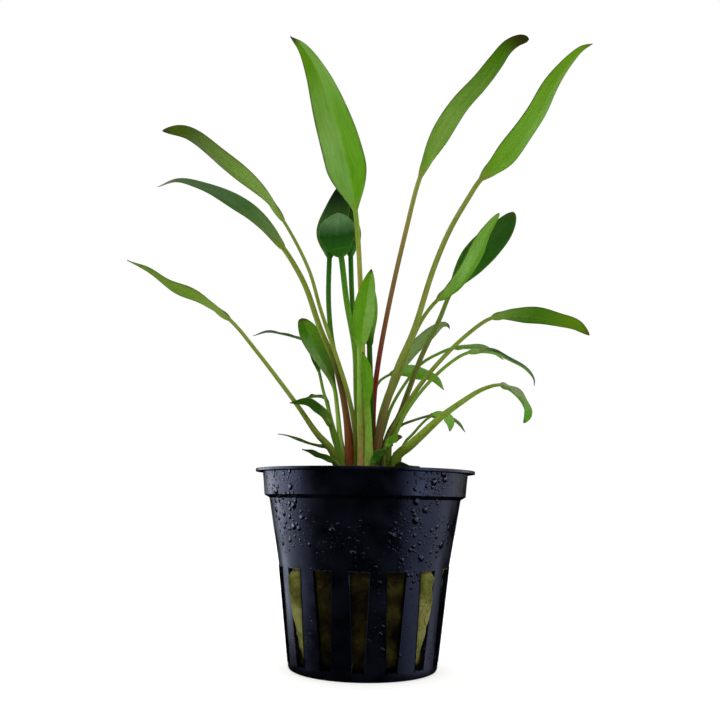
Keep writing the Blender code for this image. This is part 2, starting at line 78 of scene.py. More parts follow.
# The ring of upright slots in the pot's lower wall
SLOTS = 15
SLOT_PHASE = -3.0
SLOT_TOP = 24.3
SLOT_LOW = 1.9
SLOT_TOP_WIDTH = 4.9
SLOT_LOW_WIDTH = 2.8
SLOT_COLUMNS = 8
RIB_COLUMNS = 8
SLOT_ROWS = 8
SLOT_STEP = 2 * np.pi / SLOTS
POT_EDGE = 0.14
SOFTENED_FROM = 38
SPOT_HEIGHT = 0.0022
SPOT_ZONES = (
    ((-20.0, -16.0, 43.5), 11.0), ((-18.0, -14.0, 35.0), 11.0), ((10.0, -21.0, 33.0), 9.0),
    ((15.0, -20.0, 43.0), 10.0), ((12.0, -18.0, 26.0), 8.0), ((17.0, -13.0, 32.0), 8.0),
)
SPOT_LAYERS = ((430.0, 0.42), (700.0, 0.4), (1100.0, 0.36), (1700.0, 0.3))
PLASTIC_SHEEN = (0.5, 0.6, 1.0, 1.0)
PLASTIC_DEEP = (0.0009, 0.001, 0.0022, 1.0)
PLASTIC_PALE = (0.0026, 0.0028, 0.0058, 1.0)

# The wool, whose run is the length of its profile
WOOL_TOP_RADIUS = 21.8
WOOL_BEND_RADIUS = 19.8
WOOL_LOW_RADIUS = 16.7
WOOL_LOW = 1.3
WOOL_TOP = 43.0
WOOL_EDGE = 2.0
WOOL_RUN = 78.2
WOOL_COLUMNS = 300
WOOL_ROWS = 70
WOOL_LUMPS = 0.55
LUMP_SCALE = 0.22
LUMP_FRACTAL = (0.9, 2.1, 5)
SLOT_BULGE = 2.2
BULGE_SQUARENESS = 6
BULGE_FOOT = 2
BULGE_TOP = 12
BULGING_SLOTS = (2, 5, 8, 10, 13)
# Painted shade darkens the wool in front: about this x, fading out between these two distances from
# it
SHADE_MIDDLE = -1.0
SHADE_NEAR = 9.0
SHADE_FAR = 13.5
WOOL_TONES = (
    (0.02, (10, 7, 2)), (0.2, (34, 28, 6)), (0.36, (62, 62, 18)), (0.5, (86, 88, 38)),
    (0.64, (118, 118, 66)),
)
FIBRE_BRIGHT = (2.0, 2.0, 2.0, 1.0)
FIBRE_DARK = (0.4, 0.35, 0.3, 1.0)
FIBRES = 3400
FIBRE_SEGMENTS = 5
FIBRE_RADIUS = (0.035, 0.075)
FIBRE_LENGTH = (2.0, 6.5)
FIBRE_STARTS = (0.2, 0.97)
FIBRE_LIMITS = (0.19, 0.98)
FIBRE_LIFT = (-0.05, 0.3)
FIBRE_BEND = 0.5
FIBRE_SINK = 0.05
FIBRE_ENDS = 0.4

# The leaves
CURVE_STEPS = 24
HEADING_REACH = 0.2
BLADE_THICKNESS = 0.34
EDGE_THICKNESS = 0.12
MIDRIB_HEIGHT = 0.42
MIDRIB_WIDTH = 0.5
GROOVE_DEPTH = 0.1
CREASE_ROUNDNESS = 1.6
CREASE_CENTRE = 0.5
TIP_WIDTH = 0.3
FLATTENING = 0.18
PETIOLE_SPACING = 2.2
BLADE_SPACING = 0.75
BIG_BLADE = 4.5
BIG_RING = 44
SMALL_RING = 28
PETIOLE_SECTIONS = 6
BLADE_SECTIONS = 16
CROWDING = 0.09
TOWARDS_MIDRIB = 1.2
BLADE_THINNING = 0.45
MIDRIB_NARROWING = 0.6
MIDRIB_FADE = 0.7
RIPPLES = 1.6
MORE_RIPPLES = 0.3
RIPPLE_PHASE = 1.7
HALVES_APART = 1.9
SHEATH_TOP = 66.0
SHEATH_REACH = 24.0

# Leaf gloss and tones
LEAF_GLOSS = 0.04
VEIN_DEPTH = 0.00006
SWAY = 0.34
PUCKERS = 5.0
LEAF_SHIFT = 3.7
VEINS = 30.0
BLADE_STOPS = (0.54, 0.7, 0.9)
SWAY_GRAIN = (13.0, 1.6, 1.0)
CLOUD_GRAIN = (5.0, 1.3, 1.0)
STREAK_GRAIN = (3.0, 11.0, 1.0)
PUCKER_GRAIN = (17.0, 3.2, 1.0)
STEM_STREAK_GRAIN = (9.0, 5.0, 1.0)
BLOTCH_GRAIN = (26.0, 1.6, 1.0)
# PALER lifts a colour towards bluish grey: painted sheen in the blades' pale patches, painted
# highlight in the petioles' pale streaks, and the paler midrib
PALER = (1.14, 1.1, 1.3, 1.0)
DEEPER = (0.7, 0.8, 0.5, 1.0)
# The tint of the painted shade along the blades' margins, brownish
EDGE_SHADE = (0.8, 0.42, 0.28, 1.0)
STAIN = (1.0, 0.68, 0.5, 1.0)

# Studio: how bright, how tinted and how far off the soft boxes are, and the floor
BOX_LEVEL = 1.5
FRONT_LEVEL = 1.7
BOX_TINT = (1.0, 0.99, 0.96)
STRIP_TINT = (0.78, 0.84, 1.0)
LEFT_STRIP = 2.5
RIGHT_STRIP = 0.95
COLLAR_STRIP = 3.3
BOX_AWAY = 0.9
STRIP_AWAY = 0.85
STUDIO_MIDDLE = (0.0, 0.0, 0.08)
FLOOR_REACH = 0.9
FLOOR_COLOUR = (0.6, 0.6, 0.6)
FLOOR_GLOW = 0.45


def linear(colour):
    """An sRGB colour given as 0 to 255, as linear light, opaque."""
    share = np.array(colour, float) / 255
    light = np.where(share <= 0.04045, share / 12.92, ((share + 0.055) / 1.055) ** 2.4)
    return (*light, 1.0)


# Blade colours, each at the blade's foot, in its middle and before its tip
# Their grey and bluish tones are partly painted sheen, the soft reflection of the white surroundings
# laid over the blade's own green
PALE = ((106, 146, 50), (112, 157, 70), (100, 146, 50))
FRESH = ((84, 138, 16), (88, 140, 28), (86, 136, 16))
LIME_TO_PALE = ((84, 138, 14), (94, 147, 34), (108, 151, 62))
PALE_TO_LIME = ((102, 148, 58), (118, 160, 76), (86, 134, 18))
YELLOWER = ((96, 142, 28), (96, 144, 36), (92, 136, 6))
OLIVE = ((118, 142, 64), (100, 133, 38), (96, 124, 44))
OLIVE_TIP = ((108, 146, 52), (106, 143, 54), (66, 110, 2))
BROWNER_TIP = ((118, 148, 70), (106, 138, 54), (66, 86, 10))
MEDIUM = ((94, 132, 42), (78, 120, 30), (80, 122, 14))
ARCHED = ((98, 130, 48), (60, 106, 10), (84, 118, 4))
DEEP = ((50, 96, 18), (34, 78, 10), (36, 72, 16))
DARK_TIP = ((52, 102, 28), (46, 84, 30), (10, 26, 6))
# Painted sheen: the pale grey-green towards the tip
SHEEN_TIP = ((34, 88, 12), (22, 66, 8), (80, 116, 72))
BLUISH = ((92, 118, 60), (66, 100, 50), (78, 102, 66))
GREYISH = ((98, 132, 62), (96, 128, 66), (96, 120, 66))
ARCH_DARK = ((128, 148, 96), (34, 70, 24), (70, 98, 62))
HOOKED = ((140, 152, 92), (122, 150, 88), (116, 138, 82))
DEEP_FOOT = ((50, 90, 10), (98, 148, 42), (94, 146, 18))
LEAFLET = ((92, 118, 40), (36, 74, 6), (34, 66, 6))
OLIVE_DEEP = ((56, 84, 14), (38, 60, 8), (36, 56, 12))
SILVERY = ((124, 135, 108), (114, 130, 86), (74, 136, 24))
PATCHY = ((93, 122, 54), (110, 142, 80), (60, 112, 10))
PATCHY_DARK = ((68, 88, 20), (66, 108, 28), (84, 130, 24))

# Petiole colours, each with how far up the petiole it is reached
STEM_OLIVE = ((0.15, (84, 98, 30)), (0.4, (118, 138, 54)), (0.95, (116, 138, 54)))
STEM_GREEN = ((0.15, (102, 120, 38)), (0.5, (108, 146, 50)), (0.95, (100, 140, 44)))
STEM_BACK = ((0.15, (98, 118, 38)), (0.5, (84, 126, 40)), (0.95, (38, 100, 18)))
STEM_LIME = (
    (0.15, (98, 118, 38)), (0.5, (108, 154, 50)), (0.75, (90, 146, 34)), (0.98, (48, 108, 18)),
)
# STEM_GLOW is lifted above the petiole's own colour: painted light against the shade of the leaves
# around it
STEM_GLOW = ((0.15, (186, 188, 88)), (0.5, (172, 210, 100)), (0.95, (118, 164, 50)))
STEM_FRESH = ((0.15, (74, 100, 20)), (0.35, (126, 152, 52)), (0.95, (120, 146, 60)))
STEM_BRIGHT = ((0.15, (160, 160, 72)), (0.5, (142, 184, 80)), (0.95, (104, 154, 40)))
STEM_BUFF = ((0.2, (186, 158, 104)), (0.45, (142, 156, 70)), (0.7, (124, 172, 66)))
STEM_RED = ((0.36, (128, 42, 42)), (0.56, (126, 86, 56)), (0.95, (134, 140, 68)))
STEM_BROWN = (
    (0.12, (132, 66, 38)), (0.3, (118, 82, 44)), (0.42, (76, 68, 28)), (0.62, (118, 138, 52)),
)
STEM_STOUT = ((0.1, (118, 70, 52)), (0.2, (106, 94, 56)), (0.42, (122, 136, 60)))
STEM_TAN = ((0.2, (178, 124, 78)), (0.6, (170, 150, 84)), (0.95, (120, 152, 52)))
STEM_DEEP = ((0.15, (96, 76, 30)), (0.5, (50, 86, 10)), (0.95, (48, 90, 12)))
STEM_DARK = ((0.15, (50, 58, 14)), (0.5, (96, 104, 42)), (0.95, (96, 118, 50)))

# The colour of the very tip
TIP_BLACK = (46, 46, 10)
TIP_BROWN = (84, 66, 28)
TIP_DARK = (56, 62, 24)
TIP_GREY = (112, 112, 100)


def both(palette):
    """The palettes of a blade's two halves, where they are alike."""
    return (palette, palette)


# The material slots of the leaves
GREEN, DARK, LIGHT = "leaf_green", "leaf_dark", "leaf_light"


@dataclass
class Leaf:
    """One leaf: the route of its midline, foot first, and how its blade spreads along it.

    blade_from is the route's point where the petiole ends. petiole gives its diameters at the
    foot and there. faces gives where the blade's upper side looks, there and at the tip. peak is
    where along the blade it is widest, and start and end shape the outline before and after it.
    fold is how deeply the halves are folded up, wave how far the edges ripple, and taper how soon
    the petiole reaches its thickness at the blade. sheath is how much thicker it gets at its foot.
    under and upper each give the colours of the blade's two halves, and stem the petiole's. tip
    is the colour of the very tip, tip_from where along the blade it sets in, and tip_fade how
    gradually.
    """

    route: list
    blade_from: int
    width: float
    petiole: tuple
    faces: tuple
    slot: str = GREEN
    peak: float = 0.4
    fold: float = 0.2
    start: float = 0.9
    end: float = 0.8
    taper: float = 0.6
    under: tuple = both(PALE)
    upper: tuple = both(DEEP)
    stem: tuple = STEM_GREEN
    tip: tuple = TIP_DARK
    tip_from: float = 0.95
    tip_fade: float = 0.015
    wave: float = 0.25
    sheath: float = 1.75


# Where a blade's upper side looks, at its foot and at its tip
AWAY_AND_LEFT = ((-0.56, 0.64, 0.63), (-0.5, 0.64, 0.63))
AWAY = ((-0.1, 0.9, 0.3), (-0.5, 0.8, 0.3))
TO_FRONT = ((-0.1, -0.8, 0.6), (-0.1, -0.6, 0.8))
UP = ((0.0, 0.0, 1.0), (0.0, 0.0, 1.0))

# Places in millimetres, read off the photograph through the camera above, at guessed depths
LEAVES = {
    "top_centre": Leaf(
        [(0.1, -0.8, 40), (-0.4, -1, 57.9), (-0.8, -1.5, 68.5), (-1.9, -4, 93.6),
         (-3.5, -8.5, 113.2), (-6.1, -12, 124.7), (-9.3, -15.5, 134.7), (-13.18, -19, 144.7),
         (-16.98, -21, 150.9), (-20.2, -22, 153.5)],
        4, 10.7, (1.7, 1.25), AWAY, LIGHT, peak=0.27, start=1.2, under=(LIME_TO_PALE, PALE_TO_LIME),
        stem=STEM_TAN, sheath=2),
    "top_right": Leaf(
        [(1.8, 2.8, 40), (1.9, 3, 64.7), (2.8, 3, 74.5), (5.6, 2, 91.2), (9.85, -1, 110.9),
         (13.35, -3, 124.8), (16.9, -5, 132.3), (23.3, -8, 142.2), (28.7, -10, 148.3),
         (32.5, -11.6, 153), (35.5, -12.8, 156.7), (38.1, -13.6, 158.1), (40.6, -14, 158.3)],
        5, 6.6, (1.5, 1.2), AWAY_AND_LEFT, peak=0.3, fold=0.25, start=1.1, end=0.38,
        under=both(OLIVE_TIP), stem=STEM_RED, tip=TIP_BLACK, tip_from=0.93, tip_fade=0.07),
    "far_right": Leaf(
        [(2.8, -1.2, 40), (2.9, -1.3, 53.3), (4.7, -1.6, 63), (7.6, -2, 73.2), (11.9, -2, 83.5),
         (16.9, -2, 99.8), (21.3, -1.5, 110.8), (26.2, -1, 119.7), (29.65, -1, 125.2),
         (37.95, -1, 133.5), (44.4, 0, 143.4), (49.9, 1, 153.5), (55.3, 2.5, 161.8),
         (58.8, 3, 165.6), (61.7, 3, 167.1)],
        8, 8.6, (2, 1.3), AWAY_AND_LEFT, peak=0.24, fold=0.25, start=1, end=0.75,
        under=both(YELLOWER), stem=STEM_STOUT, tip=TIP_BROWN, tip_from=0.97),
    "upper_left": Leaf(
        [(-2.1, -1.4, 40), (-1.9, -1.2, 52.3), (-2.9, -1.2, 59.1), (-5, -0.8, 68), (-7.8, 0, 76.5),
         (-12.4, 2, 89.6), (-16, 4, 101.2), (-23.3, 6, 115.2), (-29.2, 7.5, 123.3),
         (-41.4, 11, 134.6), (-53.3, 14, 144), (-60.6, 16, 145.6)],
        7, 8.1, (1.5, 0.85), ((0.53, 0.44, 0.82), (-0.06, 0.44, 1)), peak=0.55, end=0.6,
        under=both(BROWNER_TIP), stem=STEM_OLIVE, sheath=2.1),
    "second_left": Leaf(
        [(-3.6, 1.2, 40), (-4, 1.4, 52.4), (-5.6, 2.2, 64.5), (-8.2, 3.2, 74.9), (-12.6, 4.5, 85.2),
         (-16.5, 7.5, 96.2), (-19.4, 9.8, 102.3), (-23.8, 12, 109.4), (-31.5, 15, 118.8),
         (-37, 17.5, 123.5), (-48.8, 21.5, 130.7), (-57.4, 24, 133.6), (-63.6, 25.5, 132.1)],
        7, 6.2, (1.9, 1.4), ((0.35, -0.85, 0.3), (0.1, -0.7, 0.65)), DARK, peak=0.42, fold=0.25,
        start=0.75, end=0.9, upper=both(BLUISH), stem=STEM_BROWN, tip=TIP_GREY, tip_from=0.9,
        sheath=1.9),
    "low_left": Leaf(
        [(-5.6, -3.4, 40), (-8.1, -3.4, 51.8), (-12.4, -4, 56.7), (-17.3, -5, 63.5),
         (-27.5, -7, 76.4), (-34.4, -9, 84.2), (-41.2, -10.5, 88.6), (-49, -12.5, 92),
         (-54.8, -14, 95.6), (-59.3, -15, 97.5)],
        5, 6.4, (1.6, 0.9), ((0.41, 0.32, 0.9), (0.35, 0.3, 0.95)), peak=0.42, fold=0.15,
        start=0.95, end=1.2, under=both(OLIVE), stem=STEM_OLIVE, tip=TIP_BROWN),
    "back_left": Leaf(
        [(-3, 4.2, 40), (-4.1, 4.6, 53.1), (-5.9, 5.9, 64.9), (-8.05, 7.6, 75.8),
         (-9.75, 8.2, 84.1), (-10.75, 9.8, 94.1), (-10.9, 12.5, 106.9), (-10.9, 17, 114.7),
         (-9.6, 24, 125), (-7.6, 31, 137)],
        6, 8.8, (1.2, 1.4), TO_FRONT, DARK, peak=0.35, fold=0.15, start=1, end=0.6,
        upper=both(DARK_TIP), stem=STEM_BACK),
    "back_middle": Leaf(
        [(-1, 4.6, 40), (-1.4, 4.8, 53.1), (-2.6, 5.5, 66.3), (-3.25, 6, 79.7), (-5.7, 7, 93),
         (-7.6, 9.5, 106.9), (-8.8, 12, 112.1), (-9.1, 15.5, 117.3), (-9.1, 19.5, 122.5)],
        5, 10.8, (1.3, 1.6), TO_FRONT, DARK, peak=0.45, fold=0.15, start=0.6, end=0.6,
        upper=both(SHEEN_TIP), stem=STEM_LIME, tip=TIP_GREY, tip_from=0.98),
    "back_right": Leaf(
        [(0.1, 6.6, 40), (-0.6, 7, 53.3), (-1.8, 7.5, 66.5), (-3.1, 8.4, 80.2), (-4.3, 10, 94.3),
         (-5, 13.5, 107.9), (-5.3, 19, 114.3), (-7.5, 27.5, 125.1), (-10.2, 36, 136.9)],
        5, 7, (1.2, 1.4), TO_FRONT, DARK, peak=0.35, fold=0.15, upper=both(DARK_TIP),
        stem=STEM_BACK),
    "dark_right": Leaf(
        [(4.6, 2.8, 40), (5.7, 3.2, 56.2), (8.5, 3.6, 61.8), (10.9, 4.6, 68.5), (14.7, 7, 78.8),
         (19.6, 11, 89.3), (23.3, 15, 98.3), (29.2, 20, 106.9), (35.2, 26, 115.5), (40.4, 31, 122.5),
         (44.7, 36, 129.5)],
        6, 10.4, (1.8, 1.2), ((-0.3, -0.85, 0.2), (-0.3, -0.85, 0.2)), DARK, peak=0.44, fold=0.15,
        start=1, end=0.55, stem=STEM_DARK),
    "light_right": Leaf(
        [(3.6, 1.1, 40), (3.9, 1, 58.1), (5.8, 0.6, 65.8), (8.1, 0.6, 71.6), (10.6, 0.6, 78.9),
         (14.2, 1, 87.1), (18.3, 1, 92.5), (23.2, 0, 96.3), (27.9, -2, 103.8), (30.6, -4, 109.4),
         (33.7, -6, 114.1)],
        6, 7.3, (1.5, 1), ((-0.6, 0.47, 0.66), (-0.6, 0.47, 0.66)), LIGHT, peak=0.35, end=0.5,
        under=(FRESH, PALE), stem=STEM_OLIVE, tip=TIP_GREY, tip_from=0.98),
    "bright_arch": Leaf(
        [(5.2, -0.1, 40), (5.4, 0, 55.2), (7.4, 0, 59.1), (9.9, 0, 63.7), (14, 0.5, 70.1),
         (20.3, 2, 77.8), (27.1, 3.5, 84.5), (33.2, 5.5, 88.9), (40.6, 8, 90.4), (49.9, 11, 90),
         (57.3, 13.5, 89), (61.6, 15, 86.5)],
        7, 6.6, (1.6, 1), ((-0.2, 0.5, 0.95), (0.1, 0.5, 0.95)), start=0.8, end=0.6,
        under=both(ARCHED), stem=STEM_OLIVE, tip=TIP_BROWN, sheath=1.3),
    "thin_arch_upper": Leaf(
        [(4.6, 5, 40), (3.7, 5.2, 55.1), (4.6, 5.4, 58.2), (6.5, 6.2, 64.4), (10, 7.6, 70.7),
         (14.6, 9.5, 76.8), (19.8, 10.8, 80.1), (23.7, 12, 81.8), (29.5, 14.4, 82.6),
         (34.3, 16.6, 82.1), (38.3, 18.6, 79.9)],
        7, 4.8, (0.9, 0.8), ((-0.17, -0.37, 0.84), (0.4, -0.37, 0.65)), DARK, peak=0.45, fold=0.25,
        upper=(GREYISH, MEDIUM)),
    "thin_arch_lower": Leaf(
        [(5.7, -2, 40), (5.9, -2, 53.8), (7.8, -2, 57.6), (9.8, -1.8, 62), (14.2, -1, 68.3),
         (20.9, 2, 75.3), (27, 6, 79.5), (33.8, 10, 80.6), (39.3, 13.5, 79.2), (44.1, 16, 77),
         (46.4, 17, 74.3), (46.6, 17.5, 72.4)],
        6, 5, (1.1, 0.85), ((-0.1, -0.37, 0.84), (0.5, -0.37, 0.55)), DARK, peak=0.45, fold=0.25,
        upper=both(ARCH_DARK), tip=TIP_GREY, sheath=1.3),
    "front_centre": Leaf(
        [(-1, -3.2, 40), (-1, -3.6, 52.6), (-1.5, -4.2, 61.3), (-1.6, -5, 71.3), (-1.7, -6, 78.8),
         (-0.75, -7.5, 87.5), (0, -8.6, 93), (0.8, -10, 97.5)],
        4, 5.8, (1.5, 1.6), ((-0.3, 0.9, 0.2), (-0.2, 0.9, 0.2)), LIGHT, peak=0.35, fold=0.35,
        start=0.6, end=0.7, under=(PALE, FRESH), upper=both(FRESH), stem=STEM_BUFF, sheath=1.6),
    "behind_front": Leaf(
        [(1.2, 1, 40), (1.3, 1, 53), (1.2, 1, 65.8), (0.8, 0.8, 74.9), (0.6, 0.6, 80.1),
         (0.7, 0.2, 88), (0.8, -0.2, 93), (0.2, -0.6, 97.8)],
        4, 4.6, (1.4, 1.4), ((-0.5, 0.85, 0.1), (-0.5, 0.85, 0.1)), peak=0.55, fold=0.3, start=0.7,
        under=both(DEEP_FOOT), upper=both(FRESH), stem=STEM_DEEP),
    "small_front": Leaf(
        [(1, -4.6, 40), (0.8, -4.8, 52.6), (0.5, -5.4, 60), (0.2, -5.8, 64.9), (0.3, -6.2, 68.7),
         (0, -6.8, 72.1), (-1.1, -7.6, 76.8)],
        3, 2.9, (1.4, 1.5), ((0.1, 0.9, 0.3), (0, 0.9, 0.3)), LIGHT, fold=0.3, start=0.6,
        under=both(FRESH), upper=both(FRESH), stem=STEM_BRIGHT),
    "low_arch": Leaf(
        [(7, -3.8, 40), (6.8, -4, 48.4), (7.9, -4.1, 51.4), (10.8, -4.6, 53.7), (14.7, -5.4, 57.3),
         (18.8, -6.2, 61.1), (23.7, -7.4, 64.7), (28.4, -8.8, 67.6), (32.7, -10, 68.7),
         (35.4, -11.4, 67.5), (37.8, -12.6, 64.6), (38.5, -13.6, 61.6), (37.5, -14.4, 59)],
        8, 5.5, (2.2, 0.8), ((0.3, -0.4, 0.9), (0.9, -0.4, 0.2)), fold=0.3, end=0.6, taper=1.8,
        upper=both(SILVERY), stem=STEM_FRESH, sheath=1.3),
    "small_right_thin": Leaf(
        [(6.3, 1.6, 40), (6.7, 1.8, 56.4), (8.8, 2, 59.3), (11.9, 2.6, 60.7), (16.6, 3.6, 62.3),
         (18.7, 4, 62.8), (21.9, 4.6, 62.1), (24, 5, 60.6), (25.9, 5.4, 58.3)],
        4, 2.6, (0.8, 0.6), ((0, -0.5, 1), (0.5, -0.5, 0.6)), DARK, peak=0.3,
        upper=both(BLUISH), stem=STEM_DARK),
    "small_right_hanging": Leaf(
        [(7.3, -0.6, 40), (9.7, -0.8, 54.5), (11.9, -1, 57), (14, -1, 59.5), (16.5, -1, 61.6),
         (19.3, -1, 62), (21, -1.2, 60.5), (21.2, -1.6, 57.8)],
        4, 4.4, (0.9, 0.6), ((0.1, -0.5, 1), (0.9, -0.6, 0.2)), peak=0.55, upper=both(PALE),
        sheath=1.3),
    "crossing": Leaf(
        [(1.2, 5, 40), (1.6, 6.4, 58.5), (1.9, 9, 66.8), (3.3, 11, 71.9), (6.3, 12.3, 74.2),
         (8.5, 13, 75), (11.6, 13.8, 75.2), (16, 14.6, 74.7), (19.1, 15, 73.2), (21.3, 15.4, 70.6)],
        4, 5.2, (0.9, 0.7), ((0, -0.9, 0.7), (0.5, -0.8, 0.6)), fold=0.15, upper=(PALE, FRESH),
        tip=TIP_BROWN, tip_from=0.98),
    "hooked": Leaf(
        [(2.9, 5.8, 40), (3.3, 6.8, 59.9), (5.1, 8, 67.2), (7.9, 9.5, 74), (10.6, 10.6, 78.3),
         (13.9, 11.8, 82.4), (17.8, 13.4, 86.2), (21.3, 15, 88.9), (22.5, 15.5, 88.7),
         (22.9, 15.7, 87.9)],
        3, 5.4, (1.3, 1), ((-0.47, 0.63, 0.64), (-0.3, 0.7, 0.6)), peak=0.35,
        under=both(HOOKED)),
    "on_edge": Leaf(
        [(-4.4, 5.6, 40), (-3.6, 6.2, 53.2), (-5.4, 7.8, 63.8), (-7.5, 10.2, 72.7),
         (-10.4, 13, 79.5), (-14.3, 16, 83.1), (-18.7, 18.5, 85.2), (-23.7, 20.5, 86.8),
         (-28.8, 22.5, 87.7), (-33, 24, 86.7)],
        5, 5, (0.9, 0.7), ((0.1, 0, 1), (-0.4, 0, 0.9)), DARK, fold=0.1, under=both(BLUISH),
        tip=TIP_GREY),
    "split_tip": Leaf(
        [(-5, 2.6, 40), (-5.9, 2.8, 51.7), (-6.7, 3, 56.3), (-7.5, 3.5, 63.3), (-8.4, 3.8, 69.1),
         (-10.6, 5.2, 74.7), (-13.4, 7.4, 79.6), (-15.75, 10, 84.7), (-18.1, 12.6, 89.6)],
        4, 6.4, (1.3, 1.1), ((0.35, -0.9, 0.2), (0.35, -0.9, 0.3)), DARK, peak=0.66, fold=0.3,
        start=1.15, end=0.45, upper=(PATCHY, PATCHY_DARK), stem=STEM_GLOW, tip=TIP_BROWN),
    "behind_split": Leaf(
        [(-6, 1, 40), (-6.8, 1.4, 52.3), (-8.1, 2.4, 57.5), (-10, 4.4, 63.9), (-11.5, 6.4, 68.9),
         (-12.8, 8.6, 74.1), (-14.3, 10.8, 78.5), (-15.5, 13, 82.2), (-16.5, 14.5, 85.9)],
        5, 2.8, (1, 0.8), ((0.4, -0.8, 0.4), (0.4, -0.8, 0.4)), DARK, peak=0.5),
    "small_left": Leaf(
        [(-5, -0.6, 40), (-5.6, -0.7, 47.7), (-6.9, -0.9, 52.5), (-8.2, -1.6, 56.2),
         (-8.9, -2.6, 58.6), (-10.3, -4, 61), (-12.3, -5.6, 62.8), (-14.7, -7.2, 63.8),
         (-18.7, -9.6, 63.5)],
        4, 4, (1.2, 1), ((0.3, -0.9, 0.7), (0, -0.8, 0.8)), DARK, upper=both(LEAFLET)),
    "small_left_edge": Leaf(
        [(-6.8, 3.7, 40), (-6.9, 4.6, 53.3), (-8.4, 5.6, 58), (-9.7, 7, 63.2), (-10.9, 8.8, 67.2),
         (-13, 9.8, 67.8), (-16.6, 11.6, 67.3)],
        4, 3.4, (1, 0.8), ((0.3, 0, 1), (-0.1, 0, 1)), DARK, fold=0.15, under=both(GREYISH)),
    "thread_left": Leaf(
        [(-6.8, -1.1, 40), (-6.6, -1.5, 47.7), (-7.3, -2, 50.8), (-8.7, -1.9, 52.5),
         (-10.2, -2, 53.4), (-14, -3, 54.3), (-17, -3.8, 55.1), (-19.7, -4.6, 56),
         (-21.9, -5.2, 56.2)],
        4, 1.6, (0.8, 0.6), UP, fold=0.1, under=both(OLIVE), upper=both(OLIVE),
        tip=TIP_GREY),
    "low_dark_left": Leaf(
        [(-5.2, -5.4, 40), (-6, -5.4, 47.5), (-7.5, -5.8, 49.4), (-9.7, -6.4, 50.3),
         (-12.2, -7.2, 51.3), (-15.5, -8.4, 52.3)],
        2, 1.4, (1, 0.8), ((0.2, -0.9, 0.6), (0, -0.7, 0.8)), DARK, peak=0.35, fold=0.15,
        upper=both(OLIVE_DEEP), stem=STEM_DARK),
    "round_tip": Leaf(
        [(5, -5, 40), (4.3, -5.6, 51.4), (5.3, -6, 53.3), (6.2, -6.4, 54.7), (7.4, -6.8, 55.3),
         (8.9, -7.4, 55.7)],
        2, 2.6, (1.2, 1), TO_FRONT, peak=0.55, end=0.5, upper=both(MEDIUM), stem=STEM_DARK,
        tip_from=0.75),
    "over_rim": Leaf(
        [(6.9, -6.1, 40), (7.5, -6.8, 45.3), (8.2, -8, 47.8), (9.3, -9.6, 48.8),
         (10.9, -11.4, 48.6), (12.7, -13.4, 47.6)],
        2, 3.6, (1.3, 1.1), ((0.1, -0.2, 1), (0.5, -0.2, 0.9)), DARK, peak=0.45, fold=0.15,
        upper=both(OLIVE_DEEP), stem=STEM_DARK),
    "short_dark": Leaf(
        [(3.4, -6.2, 40), (2.1, -6.8, 49.3), (2.8, -7.4, 50.7), (3.8, -8, 51.5), (5, -8.8, 51.7)],
        1, 2.4, (1.2, 1.1), TO_FRONT, DARK, peak=0.5, end=0.5, stem=STEM_DARK),
}


